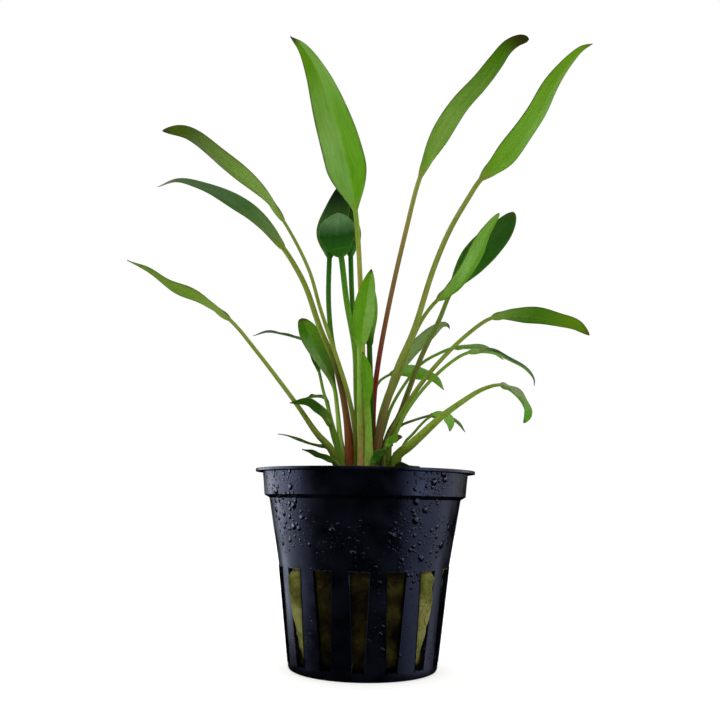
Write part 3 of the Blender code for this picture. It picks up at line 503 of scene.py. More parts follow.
class Shader:
    """A material whose nodes are added by short calls. Most return the new node's output."""

    def __init__(self, name, **values):
        self.material = bpy.data.materials.new(name)
        self.material.use_nodes = True
        self.tree = self.material.node_tree
        self.surface = self.tree.nodes["Principled BSDF"]
        for key, value in values.items():
            self.surface.inputs[key.replace("_", " ")].default_value = value

    def add(self, kind, inputs, **settings):
        node = self.tree.nodes.new(kind)
        for key, value in settings.items():
            setattr(node, key, value)
        for key, value in inputs.items():
            self.feed(node.inputs[key], value)
        return node

    def feed(self, socket, value):
        if isinstance(value, bpy.types.NodeSocket):
            self.tree.links.new(value, socket)
        else:
            socket.default_value = value

    def attribute(self, name):
        return self.add("ShaderNodeAttribute", {}, attribute_name=name).outputs["Fac"]

    def vector(self, x, y, z):
        return self.add("ShaderNodeCombineXYZ", {"X": x, "Y": y, "Z": z}).outputs["Vector"]

    def place(self):
        return self.add("ShaderNodeTexCoord", {}).outputs["Object"]

    def stretched(self, vector, scale):
        return self.add("ShaderNodeMapping", {"Vector": vector, "Scale": scale}).outputs[0]

    def noise(self, vector, scale, detail=2.0, roughness=0.5):
        inputs = {"Vector": vector, "Scale": scale, "Detail": detail, "Roughness": roughness}
        return self.add("ShaderNodeTexNoise", inputs).outputs["Fac"]

    def math(self, operation, a, b=0.0):
        return self.add("ShaderNodeMath", {0: a, 1: b}, operation=operation).outputs[0]

    def plus(self, a, b):
        return self.math("ADD", a, b)

    def times(self, a, b):
        return self.math("MULTIPLY", a, b)

    def span(self, value, low, high, out_low=0.0, out_high=1.0):
        """Rises smoothly from out_low to out_high as the value goes from low to high."""
        inputs = {0: value, 1: low, 2: high, 3: out_low, 4: out_high}
        kind = {"interpolation_type": "SMOOTHSTEP"}
        return self.add("ShaderNodeMapRange", inputs, **kind).outputs[0]

    def mix(self, factor, a, b, blend="MIX"):
        node = self.add("ShaderNodeMix", {}, data_type="RGBA", blend_type=blend)
        for index, value in ((0, factor), (6, a), (7, b)):
            self.feed(node.inputs[index], value)
        return node.outputs[2]

    def toned(self, factor, colour, tone):
        """The colour, multiplied by the tone as far as the factor says."""
        return self.mix(factor, colour, self.mix(1.0, colour, tone, "MULTIPLY"))

    def ramp(self, value, stops):
        node = self.add("ShaderNodeValToRGB", {"Fac": value})
        elements = node.color_ramp.elements
        while len(elements) < len(stops):
            elements.new(0.5)
        for element, (position, colour) in zip(elements, stops):
            element.position = position
            element.color = colour
        return node.outputs["Color"]

    def bump(self, height, distance, strength=1.0, normal=None):
        inputs = {"Height": height, "Distance": distance, "Strength": strength}
        if normal is not None:
            inputs["Normal"] = normal
        return self.add("ShaderNodeBump", inputs).outputs["Normal"]

    def out(self, **sockets):
        for key, value in sockets.items():
            self.feed(self.surface.inputs[key.replace("_", " ")], value)
        return self.material


def new_object(name, data):
    """An object in the scene."""
    item = bpy.data.objects.new(name, data)
    bpy.context.scene.collection.objects.link(item)
    return item


def new_mesh(name, points, faces, material):
    """A smooth-shaded mesh object from points in millimetres."""
    mesh = bpy.data.meshes.new(name)
    mesh.from_pydata([tuple(point) for point in np.asarray(points) * MM], [], faces)
    mesh.validate()
    mesh.shade_smooth()
    mesh.materials.append(material)
    return new_object(name, mesh)


def keep_values(item, name, values):
    """Stores one number a point for the material to read."""
    layer = item.data.attributes.new(name, "FLOAT", "POINT")
    layer.data.foreach_set("value", np.asarray(values, np.float32))


def dress(item, slot, *nodes):
    """Lets the object ride the body in place of the solids; the slot it is given is not used."""
    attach(item, BODY)
    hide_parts(*nodes)


# Leaves


def smooth_curve(points):
    """A centripetal Catmull-Rom curve through the points, and where each point lies on it."""
    ends = np.vstack([2 * points[0] - points[1], points, 2 * points[-1] - points[-2]])
    gaps = np.linalg.norm(np.diff(ends, axis=0), axis=1) ** 0.5
    knots = np.concatenate([[0.0], np.cumsum(gaps)])
    curve, marks = [points[0]], [0]
    for i in range(1, len(points)):
        a, b, c, d = ends[i - 1 : i + 3]
        ta, tb, tc, td = knots[i - 1 : i + 3]
        for t in np.linspace(tb, tc, CURVE_STEPS + 1)[1:]:
            ab = ((tb - t) * a + (t - ta) * b) / (tb - ta)
            bc = ((tc - t) * b + (t - tb) * c) / (tc - tb)
            cd = ((td - t) * c + (t - tc) * d) / (td - tc)
            abc = ((tc - t) * ab + (t - ta) * bc) / (tc - ta)
            bcd = ((td - t) * bc + (t - tb) * cd) / (td - tb)
            curve.append(((tc - t) * abc + (t - tb) * bcd) / (tc - tb))
        marks.append(len(curve) - 1)
    return np.array(curve), marks


def leaf_stations(leaf):
    """Where the leaf's sections stand, which way it runs there, and how far along each part."""
    curve, marks = smooth_curve(np.array(leaf.route, float))
    steps = np.linalg.norm(np.diff(curve, axis=0), axis=1)
    run = np.concatenate([[0.0], np.cumsum(steps)])
    foot, end = run[marks[leaf.blade_from]], run[-1]
    petiole = np.linspace(
        0.0, foot, PETIOLE_SECTIONS + round(foot / PETIOLE_SPACING), endpoint=False
    )
    blade = np.linspace(0, 1, BLADE_SECTIONS + round((end - foot) / BLADE_SPACING))
    crowded = blade - CROWDING * np.sin(2 * np.pi * blade) / np.pi
    at = np.concatenate([petiole, foot + (end - foot) * crowded])

    def on_curve(where):
        return np.stack([np.interp(where, run, curve[:, k]) for k in range(3)], axis=1)

    place = on_curve(at)
    heading = on_curve(at + HEADING_REACH) - on_curve(at - HEADING_REACH)
    heading /= np.linalg.norm(heading, axis=1)[:, None]
    return place, heading, np.clip(at / foot, 0, 1), np.clip((at - foot) / (end - foot), 0, 1)


def outline(leaf, along):
    """The blade's width along it, as a share of its greatest width."""
    rise = np.sin(np.pi / 2 * np.clip(along / leaf.peak, 0, 1)) ** leaf.start
    fall = np.cos(np.pi / 2 * np.clip((along - leaf.peak) / (1 - leaf.peak), 0, 1)) ** leaf.end
    return np.where(along < leaf.peak, rise, fall)


def smooth_step(value):
    """Rises smoothly from 0 to 1 as the value goes from 0 to 1."""
    value = np.clip(value, 0, 1)
    return value * value * (3 - 2 * value)


def half_widths(leaf, place, along_petiole, along):
    """Half the leaf's width at each section: round petiole with its sheath, then the blade."""
    radius = leaf.petiole[0] / 2 + (leaf.petiole[1] - leaf.petiole[0]) / 2 * (
        along_petiole[:, None] ** leaf.taper
    )
    stem = radius * (1 - along)
    half = stem + (leaf.width / 2 - stem) * outline(leaf, along)
    half = np.where(along > 0, np.maximum(half, TIP_WIDTH / 2), radius)
    sheathed = smooth_step((SHEATH_TOP - place[:, 2:]) / SHEATH_REACH)
    return half * (1 + (leaf.sheath - 1) * sheathed)


def ring_corners(ring):
    """A ring's corners: on a round section, and across a flat one with the face they lie on."""
    turn = 2 * np.pi * np.arange(ring) / ring
    round_across, round_above = np.cos(turn), np.sin(turn)
    side = np.sign(np.round(round_above, 6))
    share = 1 - 2 * np.minimum(turn, 2 * np.pi - turn) / np.pi
    across = np.sign(share) * np.abs(share) ** TOWARDS_MIDRIB
    return round_across, round_above, across, side


def blade_height(leaf, number, along, across, side, x, half):
    """How high the flat blade's skin lies: its thickness with the midrib, its fold and ripples."""
    thin = EDGE_THICKNESS + (BLADE_THICKNESS - EDGE_THICKNESS) * (1 - np.abs(across) ** 3)
    thin = thin * (1 - BLADE_THINNING * along)
    rib_width = MIDRIB_WIDTH * (1 - MIDRIB_NARROWING * along)
    rib = np.exp(-((x / rib_width) ** 2)) * (1 - along) ** MIDRIB_FADE
    bulge = np.where(side < 0, MIDRIB_HEIGHT * rib, -GROOVE_DEPTH * rib)
    thickness = side * (thin / 2 + bulge)
    crease = leaf.fold * half * (np.abs(across) ** CREASE_ROUNDNESS - CREASE_CENTRE)
    ripples = RIPPLES + MORE_RIPPLES * (number % 3)
    phase = RIPPLE_PHASE * number
    ripple = np.sin(2 * np.pi * ripples * along + phase + HALVES_APART * (x > 0))
    ripple = leaf.wave * ripple * across**2 * np.sin(np.pi * np.clip(along, 0, 1))
    return thickness + crease + ripple


def blade_frame(leaf, heading, along):
    """The directions across the leaf and out of its upper side at each section."""
    first, last = np.array(leaf.faces[0]), np.array(leaf.faces[1])
    up = first * (1 - along) + last * along
    up = up - (up * heading).sum(axis=1)[:, None] * heading
    up /= np.linalg.norm(up, axis=1)[:, None]
    return np.cross(heading, up), up


def leaf_points(leaf, number):
    """The leaf's sections as rings of points, and the values that its material reads."""
    ring = BIG_RING if leaf.width > BIG_BLADE else SMALL_RING
    place, heading, along_petiole, along_blade = leaf_stations(leaf)
    along = along_blade[:, None]
    half = half_widths(leaf, place, along_petiole, along)
    round_across, round_above, across, side = ring_corners(ring)
    flat = smooth_step(along / FLATTENING)
    x = half * ((1 - flat) * round_across + flat * across)
    blade = blade_height(leaf, number, along, across, side, x, half)
    above = (1 - flat) * half * round_above + flat * blade
    right, up = blade_frame(leaf, heading, along)
    points = place[:, None] + x[..., None] * right[:, None] + above[..., None] * up[:, None]

    shape = (len(place), ring)
    both = along_petiole + along_blade
    values = {
        "along": np.broadcast_to(both[:, None], shape),
        "across": np.broadcast_to((1 - flat) * round_across + flat * across, shape),
        "upper": np.broadcast_to(0.5 + 0.5 * side, shape),
    }
    return points, values


def make_leaf(name, leaf, number):
    """One closed mesh of the leaf's rings, capped at its foot and its tip."""
    points, values = leaf_points(leaf, number)
    count, ring = points.shape[:2]
    faces = [tuple(range(ring)), tuple(range(count * ring - 1, (count - 1) * ring - 1, -1))]
    for row in range(count - 1):
        for k in range(ring):
            low, high = row * ring, (row + 1) * ring
            n = (k + 1) % ring
            faces.append((low + k, high + k, high + n, low + n))
    material = leaf_material(f"leaf_{name}", leaf, number)
    item = new_mesh(f"blade_{name}", points.reshape(-1, 3), faces, material)
    for key, value in values.items():
        keep_values(item, key, value.reshape(-1))
    dress(item, leaf.slot, f"leaf_{name}")


def halves_colour(s, run, second_half, halves):
    """One face of the blade: each half has its own colours from foot to tip; where they differ, the
    difference is painted light and shade.
    """
    tones = []
    for colours in halves:
        stops = zip(BLADE_STOPS, colours)
        tones.append(s.ramp(run, [(stop, linear(colour)) for stop, colour in stops]))
    return s.mix(second_half, *tones)


def petiole_colour(s, run, leaf_space, colours):
    """The petiole's colours along it, deeper and paler in streaks that are partly its own mottling
    and partly painted shade and painted highlight, and stained in blotches.
    """
    stem = s.ramp(run, [(up / 2, linear(tone)) for up, tone in colours])
    light_and_shade_streaks = s.noise(s.stretched(leaf_space, STEM_STREAK_GRAIN), 1.0, 4.0)
    blotches = s.noise(s.stretched(leaf_space, BLOTCH_GRAIN), 1.0, 3.0)
    # Streaks: partly the petiole's mottling, partly painted shade (deeper) and painted highlight
    # (paler)
    stem = s.toned(s.span(light_and_shade_streaks, 0.42, 0.62, 0.0, 0.65), stem, DEEPER)
    stem = s.toned(s.span(light_and_shade_streaks, 0.42, 0.28, 0.0, 0.6), stem, PALER)
    return s.toned(s.span(blotches, 0.5, 0.62, 0.0, 0.6), stem, STAIN)


def leaf_material(name, leaf, number):
    """Halves two-toned by painted light and shade, wavy veins, puckers, pale patches partly of
    painted sheen, margins of painted brownish shade, a coloured petiole and tip.
    """
    s = Shader(name, Specular_IOR_Level=LEAF_GLOSS)
    along, across, upper = s.attribute("along"), s.attribute("across"), s.attribute("upper")
    flat_space = s.vector(along, across, number * LEAF_SHIFT)
    sway = s.noise(s.stretched(flat_space, SWAY_GRAIN), 1.0, 2.0)
    wavy = s.plus(across, s.times(s.math("SUBTRACT", sway, 0.5), SWAY))
    leaf_space = s.vector(along, wavy, number * LEAF_SHIFT)
    clouds = s.noise(s.stretched(leaf_space, CLOUD_GRAIN), 1.0, 3.0)
    streaks = s.noise(s.stretched(leaf_space, STREAK_GRAIN), 1.0, 3.0)
    puckers = s.noise(s.stretched(leaf_space, PUCKER_GRAIN), 1.0, 2.0)
    veins = s.plus(s.times(wavy, VEINS), s.times(clouds, 3.0))
    veins = s.plus(s.times(s.math("SINE", veins), 0.5), 0.5)
    middle = s.span(s.math("ABSOLUTE", wavy), 0.03, 0.13, 1.0, 0.0)
    run = s.times(along, 0.5)
    tip_at = 0.5 + leaf.tip_from / 2

    # Where a leaf's halves get different palettes, their difference is painted light and shade
    second_half = s.span(wavy, -0.08, 0.08)
    under = halves_colour(s, run, second_half, leaf.under)
    colour = s.mix(upper, under, halves_colour(s, run, second_half, leaf.upper))
    # Pale bluish-grey patches: partly the blade's mottling, partly painted sheen
    paler = s.mix(1.0, colour, PALER, "MULTIPLY")
    colour = s.mix(s.span(clouds, 0.42, 0.68, 0.0, 0.8), colour, paler)
    deeper = s.mix(1.0, colour, DEEPER, "MULTIPLY")
    colour = s.mix(s.span(clouds, 0.44, 0.3, 0.0, 0.5), colour, deeper)
    colour = s.mix(s.span(streaks, 0.62, 0.4, 0.0, 0.45), colour, deeper)
    colour = s.mix(s.span(puckers, 0.5, 0.66, 0.0, 0.4), colour, deeper)
    colour = s.mix(s.times(veins, 0.06), colour, deeper)
    colour = s.mix(s.times(middle, 0.55), colour, paler)
    # Painted shade along the margins, tinted brown, in irregular stretches
    margin = s.span(s.math("ABSOLUTE", across), 0.86, 1.0)
    margin = s.times(margin, s.span(puckers, 0.36, 0.62, 0.05, 0.75))
    edge_shaded = s.mix(1.0, colour, EDGE_SHADE, "MULTIPLY")
    colour = s.mix(s.times(margin, s.span(along, 1.0, 1.15)), colour, edge_shaded)
    colour = s.mix(s.span(run, tip_at - leaf.tip_fade, tip_at + 0.02), colour, linear(leaf.tip))

    stem = petiole_colour(s, run, leaf_space, leaf.stem)
    colour = s.mix(s.span(along, 0.95, 1.1), stem, colour)

    height = s.plus(s.times(veins, 0.35), s.times(streaks, 2.6))
    height = s.plus(height, s.times(puckers, PUCKERS))
    normal = s.bump(height, VEIN_DEPTH, 0.5)
    return s.out(Base_Color=colour, Normal=normal, Roughness=s.span(clouds, 0.3, 0.7, 0.38, 0.5))


# Pot


def slot_half_angle(height, radius):
    """Half the angle that a slot takes in the wall at a height."""
    share = np.clip((height - SLOT_LOW) / (SLOT_TOP - SLOT_LOW), 0, 1)
    width = SLOT_LOW_WIDTH + share * (SLOT_TOP_WIDTH - SLOT_LOW_WIDTH)
    return np.arcsin(width / 2 / radius)


def wall_radius(height):
    """The outer radius of the tapered wall at a height below the step."""
    heights = (BASE_EDGE, WALL_BEND_HEIGHT, STEP_LOW)
    return np.interp(height, heights, (BASE_RADIUS, WALL_BEND_RADIUS, WALL_TOP_RADIUS))


def pot_rows():
    """(radius, height) rows from the floor's rim up the inside, over the lip and down outside."""
    slots = np.linspace(SLOT_LOW, SLOT_TOP, SLOT_ROWS + 1)
    inside = [
        (INNERMOST, FLOOR),
        (BASE_RADIUS - WALL - FLOOR_CORNER[0], FLOOR),
        (BASE_RADIUS - WALL, FLOOR + FLOOR_CORNER[1]),
    ]
    over_slots = np.linspace(SLOT_TOP, STEP_LOW, UPPER_WALL_ROWS)[1:]
    inside += [(wall_radius(z) - WALL, z) for z in (*slots, *over_slots)]
    inside += [
        (COLLAR_LOW_RADIUS - WALL, STEP_TOP + WALL / 2),
        ((COLLAR_LOW_RADIUS + COLLAR_TOP_RADIUS) / 2 - WALL, (STEP_TOP + POT_HEIGHT) / 2),
        (COLLAR_TOP_RADIUS - WALL, POT_HEIGHT - LIP_CORNER),
        (COLLAR_TOP_RADIUS - WALL + LIP_CORNER, POT_HEIGHT),
    ]
    outside = [
        (LIP_RADIUS, POT_HEIGHT),
        (LIP_RADIUS, POT_HEIGHT - LIP_THICKNESS),
        (COLLAR_TOP_RADIUS, POT_HEIGHT - LIP_THICKNESS),
        ((COLLAR_LOW_RADIUS + COLLAR_TOP_RADIUS) / 2, (STEP_TOP + POT_HEIGHT) / 2),
        (COLLAR_LOW_RADIUS, STEP_TOP),
        (WALL_TOP_RADIUS, STEP_LOW),
    ]
    down_to_slots = np.linspace(STEP_LOW, SLOT_TOP, UPPER_WALL_ROWS)[1:-1]
    outside += [(wall_radius(z), z) for z in (*down_to_slots, *slots[::-1])]
    outside += [
        (BASE_RADIUS, BASE_EDGE),
        (BASE_RADIUS - BASE_CORNER, BASE_CORNER),
        (BASE_RADIUS - BASE_EDGE, 0.0),
        (INNERMOST, 0.0),
    ]
    return inside + outside


def pot_points(rows):
    """Each row as a ring of columns, which lean with the slots' sides."""
    points = []
    for radius, height in rows:
        level = np.clip(height, SLOT_LOW, SLOT_TOP)
        half = slot_half_angle(level, wall_radius(level))
        in_slot = np.linspace(-half, half, SLOT_COLUMNS + 1)[:-1]
        on_rib = np.linspace(half, SLOT_STEP - half, RIB_COLUMNS + 1)[:-1]
        one = np.concatenate([in_slot, on_rib])
        angles = (np.radians(SLOT_PHASE) + SLOT_STEP * np.arange(SLOTS)[:, None] + one).ravel()
        points += [(radius * np.sin(a), -radius * np.cos(a), height) for a in angles]
    return points


def pot_faces(count):
    """The wall's faces from row to row, left open at the slots, and those round the slots' rims."""
    sector = SLOT_COLUMNS + RIB_COLUMNS
    columns = SLOTS * sector
    # The rows at the slots' foot: three come before them inside, and four after them outside
    inner_low = 3
    outer_low = count - 5
    open_rows = set(range(inner_low, inner_low + SLOT_ROWS))
    open_rows |= set(range(outer_low - SLOT_ROWS, outer_low))
    faces = []
    for row in range(count - 1):
        for k in range(columns):
            if row in open_rows and k % sector < SLOT_COLUMNS:
                continue
            n = (k + 1) % columns
            low, high = row * columns, (row + 1) * columns
            faces.append((low + k, low + n, high + n, high + k))

    def at(inside, step, column):
        """A point on the slot's rim, counted up from its foot, on either face of the wall."""
        row = inner_low + step if inside else outer_low - step
        return row * columns + column % columns

    for slot in range(SLOTS):
        left, right = slot * sector, slot * sector + SLOT_COLUMNS
        for step in range(SLOT_ROWS):
            up = step + 1
            for low, high, k in ((step, up, left), (up, step, right)):
                faces.append((at(1, low, k), at(1, high, k), at(0, high, k), at(0, low, k)))
        for k in range(left, right):
            n = k + 1
            top = SLOT_ROWS
            faces.append((at(1, 0, n), at(1, 0, k), at(0, 0, k), at(0, 0, n)))
            faces.append((at(1, top, k), at(1, top, n), at(0, top, n), at(0, top, k)))
    faces.append(tuple(range(columns))[::-1])
    faces.append(tuple(range((count - 1) * columns, count * columns)))
    return faces


def make_pot():
    """The turned net pot with softened edges."""
    rows = pot_rows()
    pot = new_mesh("net_pot", pot_points(rows), pot_faces(len(rows)), plastic_material())
    bevel = pot.modifiers.new("soft_edges", "BEVEL")
    bevel.width = POT_EDGE * MM
    bevel.segments = 2
    bevel.limit_method = "ANGLE"
    bevel.angle_limit = np.radians(SOFTENED_FROM)
    bevel.harden_normals = True
    dress(pot, "pot_plastic", "pot")


def plastic_material():
    """Moulded black plastic: a thin film, and patches of small raised spots."""
    s = Shader("black_plastic", Specular_IOR_Level=0.45, Specular_Tint=PLASTIC_SHEEN)
    place = s.place()
    patches = s.span(s.noise(place, 62.0, 2.0), 0.48, 0.66, 0.0, 0.7)
    for centre, reach in SPOT_ZONES:
        inputs = {0: place, 1: [value * MM for value in centre]}
        away = s.add("ShaderNodeVectorMath", inputs, operation="DISTANCE").outputs["Value"]
        patches = s.math("MAXIMUM", patches, s.span(away, reach * MM, reach * 0.4 * MM))
    height = None
    for scale, size in SPOT_LAYERS:
        inputs = {"Vector": place, "Scale": scale, "Randomness": 1.0}
        cells = s.add("ShaderNodeTexVoronoi", inputs)
        chance = s.add("ShaderNodeSeparateColor", {"Color": cells.outputs["Color"]}).outputs[0]
        chance = s.span(chance, 0.1, 0.85)
        radius = s.times(s.times(chance, patches), size)
        beyond = s.math("POWER", cells.outputs["Distance"], 2.0)
        spot = s.math("SUBTRACT", s.math("POWER", radius, 2.0), beyond)
        spot = s.math("SQRT", s.math("MAXIMUM", spot, 0.0))
        spot = s.times(spot, SPOT_LAYERS[0][0] / scale)
        height = spot if height is None else s.math("MAXIMUM", height, spot)
    film = s.noise(place, 180.0, 4.0)
    normal = s.bump(s.noise(place, 900.0, 3.0), 0.00002, 0.25)
    normal = s.bump(height, SPOT_HEIGHT, 0.9, normal)
    roughness = s.span(film, 0.3, 0.7, 0.24, 0.4)
    roughness = s.math("SUBTRACT", roughness, s.span(height, 0.0, 0.03, 0.0, 0.14))
    colour = s.mix(s.span(film, 0.35, 0.75), PLASTIC_DEEP, PLASTIC_PALE)
    return s.out(Base_Color=colour, Normal=normal, Roughness=roughness)


# Wool


def wool_profile(share):
    """(radius, height) on the plug: share runs from the middle of its foot to that of its top."""
    corners = np.array([
        (0.0, WOOL_LOW),
        (WOOL_LOW_RADIUS - WOOL_EDGE, WOOL_LOW),
        (WOOL_LOW_RADIUS, WOOL_LOW + WOOL_EDGE),
        (WOOL_BEND_RADIUS, WALL_BEND_HEIGHT),
        (WOOL_TOP_RADIUS, WOOL_TOP - WOOL_EDGE),
        (WOOL_TOP_RADIUS - WOOL_EDGE, WOOL_TOP),
        (0.0, WOOL_TOP),
    ])
    steps = np.linalg.norm(np.diff(corners, axis=0), axis=1)
    run = np.concatenate([[0.0], np.cumsum(steps)]) / steps.sum()
    return np.interp(share, run, corners[:, 0]), np.interp(share, run, corners[:, 1])


def wool_surface(share, angle):
    """A point on the lumpy plug and the direction out of it there."""
    radius, height = wool_profile(share)
    before, after = wool_profile(share - 0.004), wool_profile(share + 0.004)
    along_r, along_z = after[0] - before[0], after[1] - before[1]
    length = max(np.hypot(along_r, along_z), 1e-6)
    out_r, out_z = along_z / length, -along_r / length
    turn = np.array([np.sin(angle), -np.cos(angle), 0.0])
    up = np.array([0.0, 0.0, 1.0])
    point, out = radius * turn + height * up, out_r * turn - out_z * up
    lumps = noise.fractal(Vector(point * LUMP_SCALE), *LUMP_FRACTAL)
    return point + out * (WOOL_LUMPS * lumps + bulge(angle, height)), out


def bulge(angle, height):
    """How far the wool swells out through some of the slots."""
    if not SLOT_LOW < height < SLOT_TOP:
        return 0.0
    turn = angle - np.radians(SLOT_PHASE)
    slot = round(turn / SLOT_STEP)
    if slot % SLOTS not in BULGING_SLOTS:
        return 0.0
    aside = abs(turn - SLOT_STEP * slot) / slot_half_angle(height, wall_radius(height))
    rise = np.clip((height - SLOT_LOW) / (SLOT_TOP - SLOT_LOW), 0, 1)
    ends = min(BULGE_FOOT * rise, BULGE_TOP * (1 - rise), 1.0)
    return SLOT_BULGE * max(1 - aside**BULGE_SQUARENESS, 0.0) * ends


def tube_faces(first, rings, corners):
    """The faces of a closed tube of rings of points, the first of them numbered first."""
    faces = []
    for ring in range(rings - 1):
        for corner in range(corners):
            n = (corner + 1) % corners
            low, high = first + corners * ring, first + corners * (ring + 1)
            faces.append((low + corner, low + n, high + n, high + corner))
    last = first + corners * (rings - 1)
    faces.append(tuple(range(first, first + corners))[::-1])
    faces.append(tuple(range(last, last + corners)))
    return faces


def wool_body():
    """The plug's points and faces."""
    points = []
    for row in range(WOOL_ROWS + 1):
        share = np.clip(row / WOOL_ROWS, 0.001, 0.999)
        for k in range(WOOL_COLUMNS):
            points.append(wool_surface(share, 2 * np.pi * k / WOOL_COLUMNS)[0])
    return points, tube_faces(0, WOOL_ROWS + 1, WOOL_COLUMNS)


def fibre(generator, first):
    """One bent thread that lies on the plug, as a thin three-sided tube."""
    share = generator.uniform(*FIBRE_STARTS)
    angle = generator.uniform(0, 2 * np.pi)
    way = generator.uniform(0, 2 * np.pi)
    bend = generator.normal() * FIBRE_BEND
    length = generator.uniform(*FIBRE_LENGTH)
    radius = generator.uniform(*FIBRE_RADIUS)
    lift = generator.uniform(*FIBRE_LIFT)
    path = []
    for step in range(FIBRE_SEGMENTS + 1):
        place, out = wool_surface(share, angle)
        arch = np.sin(np.pi * step / FIBRE_SEGMENTS)
        path.append((place + out * (lift * arch - FIBRE_SINK), out))
        stride = length / FIBRE_SEGMENTS
        share = np.clip(share + np.sin(way) * stride / WOOL_RUN, *FIBRE_LIMITS)
        angle += np.cos(way) * stride / WOOL_TOP_RADIUS
        way += bend
    points = []
    for step, (place, out) in enumerate(path):
        heading = path[min(step + 1, FIBRE_SEGMENTS)][0] - path[max(step - 1, 0)][0]
        side = np.cross(heading, out)
        side /= max(np.linalg.norm(side), 1e-6)
        over = np.cross(side, heading)
        over /= max(np.linalg.norm(over), 1e-6)
        width = radius * (FIBRE_ENDS if step in (0, FIBRE_SEGMENTS) else 1.0)
        for corner in range(3):
            turn = 2 * np.pi * corner / 3
            points.append(place + width * (np.cos(turn) * side + np.sin(turn) * over))
    return points, tube_faces(first, FIBRE_SEGMENTS + 1, 3)


def make_wool():
    """The plug and its fibres as one mesh, with a random tone for each fibre."""
    generator = np.random.default_rng(7)
    points, faces = wool_body()
    tone = [0.5] * len(points)
    for _ in range(FIBRES):
        more_points, more_faces = fibre(generator, len(points))
        points += more_points
        faces += more_faces
        tone += [generator.uniform()] * len(more_points)
    wool = new_mesh("mineral_wool", points, faces, wool_material())
    keep_values(wool, "tone", tone)
    dress(wool, "wool", "rockwool")


def wool_material():
    """Damp yellow-olive fibre, darker in blotches, and darker in front with painted shade."""
    s = Shader("mineral_wool", Specular_IOR_Level=0.05)
    place = s.place()
    tone = s.attribute("tone")
    stains = s.noise(place, 130.0, 4.0, 0.6)
    parts = s.add("ShaderNodeSeparateXYZ", {"Vector": place})
    # Painted shade: the wool is darker in front, near the middle and on the front half only
    aside = s.math("ABSOLUTE", s.math("SUBTRACT", parts.outputs["X"], SHADE_MIDDLE * MM))
    unshaded = s.span(aside, SHADE_NEAR * MM, SHADE_FAR * MM)
    unshaded = s.math("MAXIMUM", unshaded, s.span(parts.outputs["Y"], 0.0, 0.01))
    stains = s.plus(stains, s.times(s.math("SUBTRACT", unshaded, 0.9), 0.4))
    colour = s.ramp(stains, [(stop, linear(tone)) for stop, tone in WOOL_TONES])
    bright = s.mix(1.0, colour, FIBRE_BRIGHT, "MULTIPLY")
    dark = s.mix(1.0, colour, FIBRE_DARK, "MULTIPLY")
    colour = s.mix(s.span(tone, 0.5, 1.0, 0.0, 0.5), colour, bright)
    colour = s.mix(s.span(tone, 0.4, 0.0, 0.0, 0.6), colour, dark)
    grain = s.noise(place, 2600.0, 4.0, 0.7)
    return s.out(Base_Color=colour, Normal=s.bump(grain, 0.0002, 0.8), Roughness=0.75)


# Stage


def aimed(place, towards):
    """A matrix at a place whose -Z looks at a point."""
    look = Vector(towards) - Vector(place)
    return Matrix.Translation(place) @ look.to_track_quat("-Z", "Y").to_matrix().to_4x4()


def soft_box(
    name, azimuth, elevation, distance, size, level, tint=BOX_TINT, shines=True, lights=True
):
    """A soft box round the plant, its azimuth in degrees from the front towards the right."""
    turn, rise = np.radians(azimuth), np.radians(elevation)
    flat = distance * np.cos(rise)
    place = (flat * np.sin(turn), -flat * np.cos(turn), STUDIO_MIDDLE[2] + distance * np.sin(rise))
    light = bpy.data.lights.new(name, "AREA")
    light.shape = "RECTANGLE"
    light.size, light.size_y = size
    light.energy = level * np.pi * size[0] * size[1]
    light.color = tint
    item = new_object(name, light)
    item.matrix_world = aimed(place, STUDIO_MIDDLE)
    item.visible_camera = False
    item.visible_glossy = shines
    item.visible_diffuse = lights


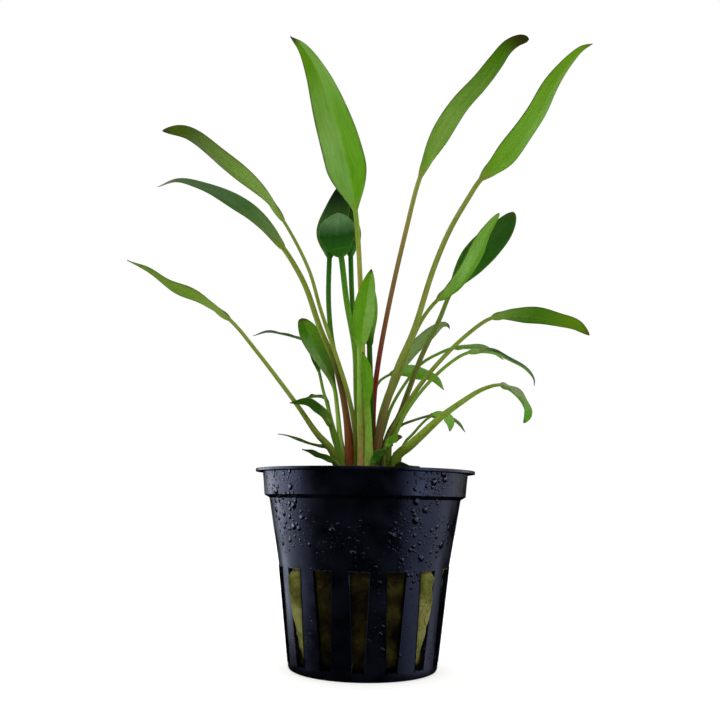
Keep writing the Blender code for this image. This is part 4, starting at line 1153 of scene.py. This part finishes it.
def make_stage():
    """White surroundings that only the camera sees, a pale floor and big soft boxes."""
    world = bpy.data.worlds.new("white_studio")
    world.use_nodes = True
    background = world.node_tree.nodes["Background"]
    background.inputs["Color"].default_value = (1.0, 1.0, 1.0, 1)
    background.inputs["Strength"].default_value = 1.0
    bpy.context.scene.world = world
    world.cycles_visibility.diffuse = False
    world.cycles_visibility.glossy = False
    bpy.context.scene.view_settings.view_transform = "Standard"

    floor = Shader("pale_floor", Roughness=0.9, Specular_IOR_Level=0.1)
    floor.surface.inputs["Base Color"].default_value = (*FLOOR_COLOUR, 1)
    floor.surface.inputs["Emission Color"].default_value = (1, 1, 1, 1)
    floor.surface.inputs["Emission Strength"].default_value = FLOOR_GLOW
    mesh = bpy.data.meshes.new("floor")
    turns = np.linspace(0, 2 * np.pi, 96, endpoint=False)
    corners = [(FLOOR_REACH * np.cos(t), FLOOR_REACH * np.sin(t), 0) for t in turns]
    mesh.from_pydata(corners, [], [tuple(range(len(corners)))])
    mesh.materials.append(floor.material)
    item = new_object("floor", mesh)
    item.visible_glossy = False

    soft_box("box_left", -112, 21.5, BOX_AWAY, (1.3, 0.86), BOX_LEVEL)
    soft_box("box_right", 96, 21.5, BOX_AWAY, (1.6, 0.86), BOX_LEVEL)
    soft_box("box_back", 180, 20, BOX_AWAY, (1.3, 1.2), BOX_LEVEL, shines=False)
    soft_box("box_top", 180, 80, BOX_AWAY, (1.4, 1.4), BOX_LEVEL, shines=False)
    soft_box("box_front", -10, 48, BOX_AWAY, (1.4, 0.8), FRONT_LEVEL)
    soft_box("strip_left", -106, -6.5, STRIP_AWAY, (1.05, 0.34), LEFT_STRIP, STRIP_TINT, lights=False)
    soft_box("strip_right", 88, -17, STRIP_AWAY, (1.1, 0.36), RIGHT_STRIP, STRIP_TINT, lights=False)
    soft_box("strip_collar", 62, -5, STRIP_AWAY, (0.5, 0.2), COLLAR_STRIP, STRIP_TINT, lights=False)


def make_camera():
    """The photograph's camera: its place, its turn and its field of view."""
    camera = bpy.data.cameras.new("camera")
    camera.sensor_width = SENSOR
    camera.lens = FOCAL_PIXELS / FRAME_PIXELS * SENSOR
    camera.clip_start = 0.01
    item = new_object("camera", camera)
    yaw = Matrix.Rotation(np.radians(CAMERA_YAW), 4, "Z")
    pitch = Matrix.Rotation(np.radians(90 + CAMERA_PITCH), 4, "X")
    roll = Matrix.Rotation(np.radians(CAMERA_ROLL), 4, "Z")
    item.matrix_world = Matrix.Translation(CAMERA_PLACE) @ yaw @ pitch @ roll
    bpy.context.scene.camera = item


make_camera()
make_stage()
make_pot()
make_wool()
for number, (name, leaf) in enumerate(LEAVES.items()):
    make_leaf(name, leaf, number)
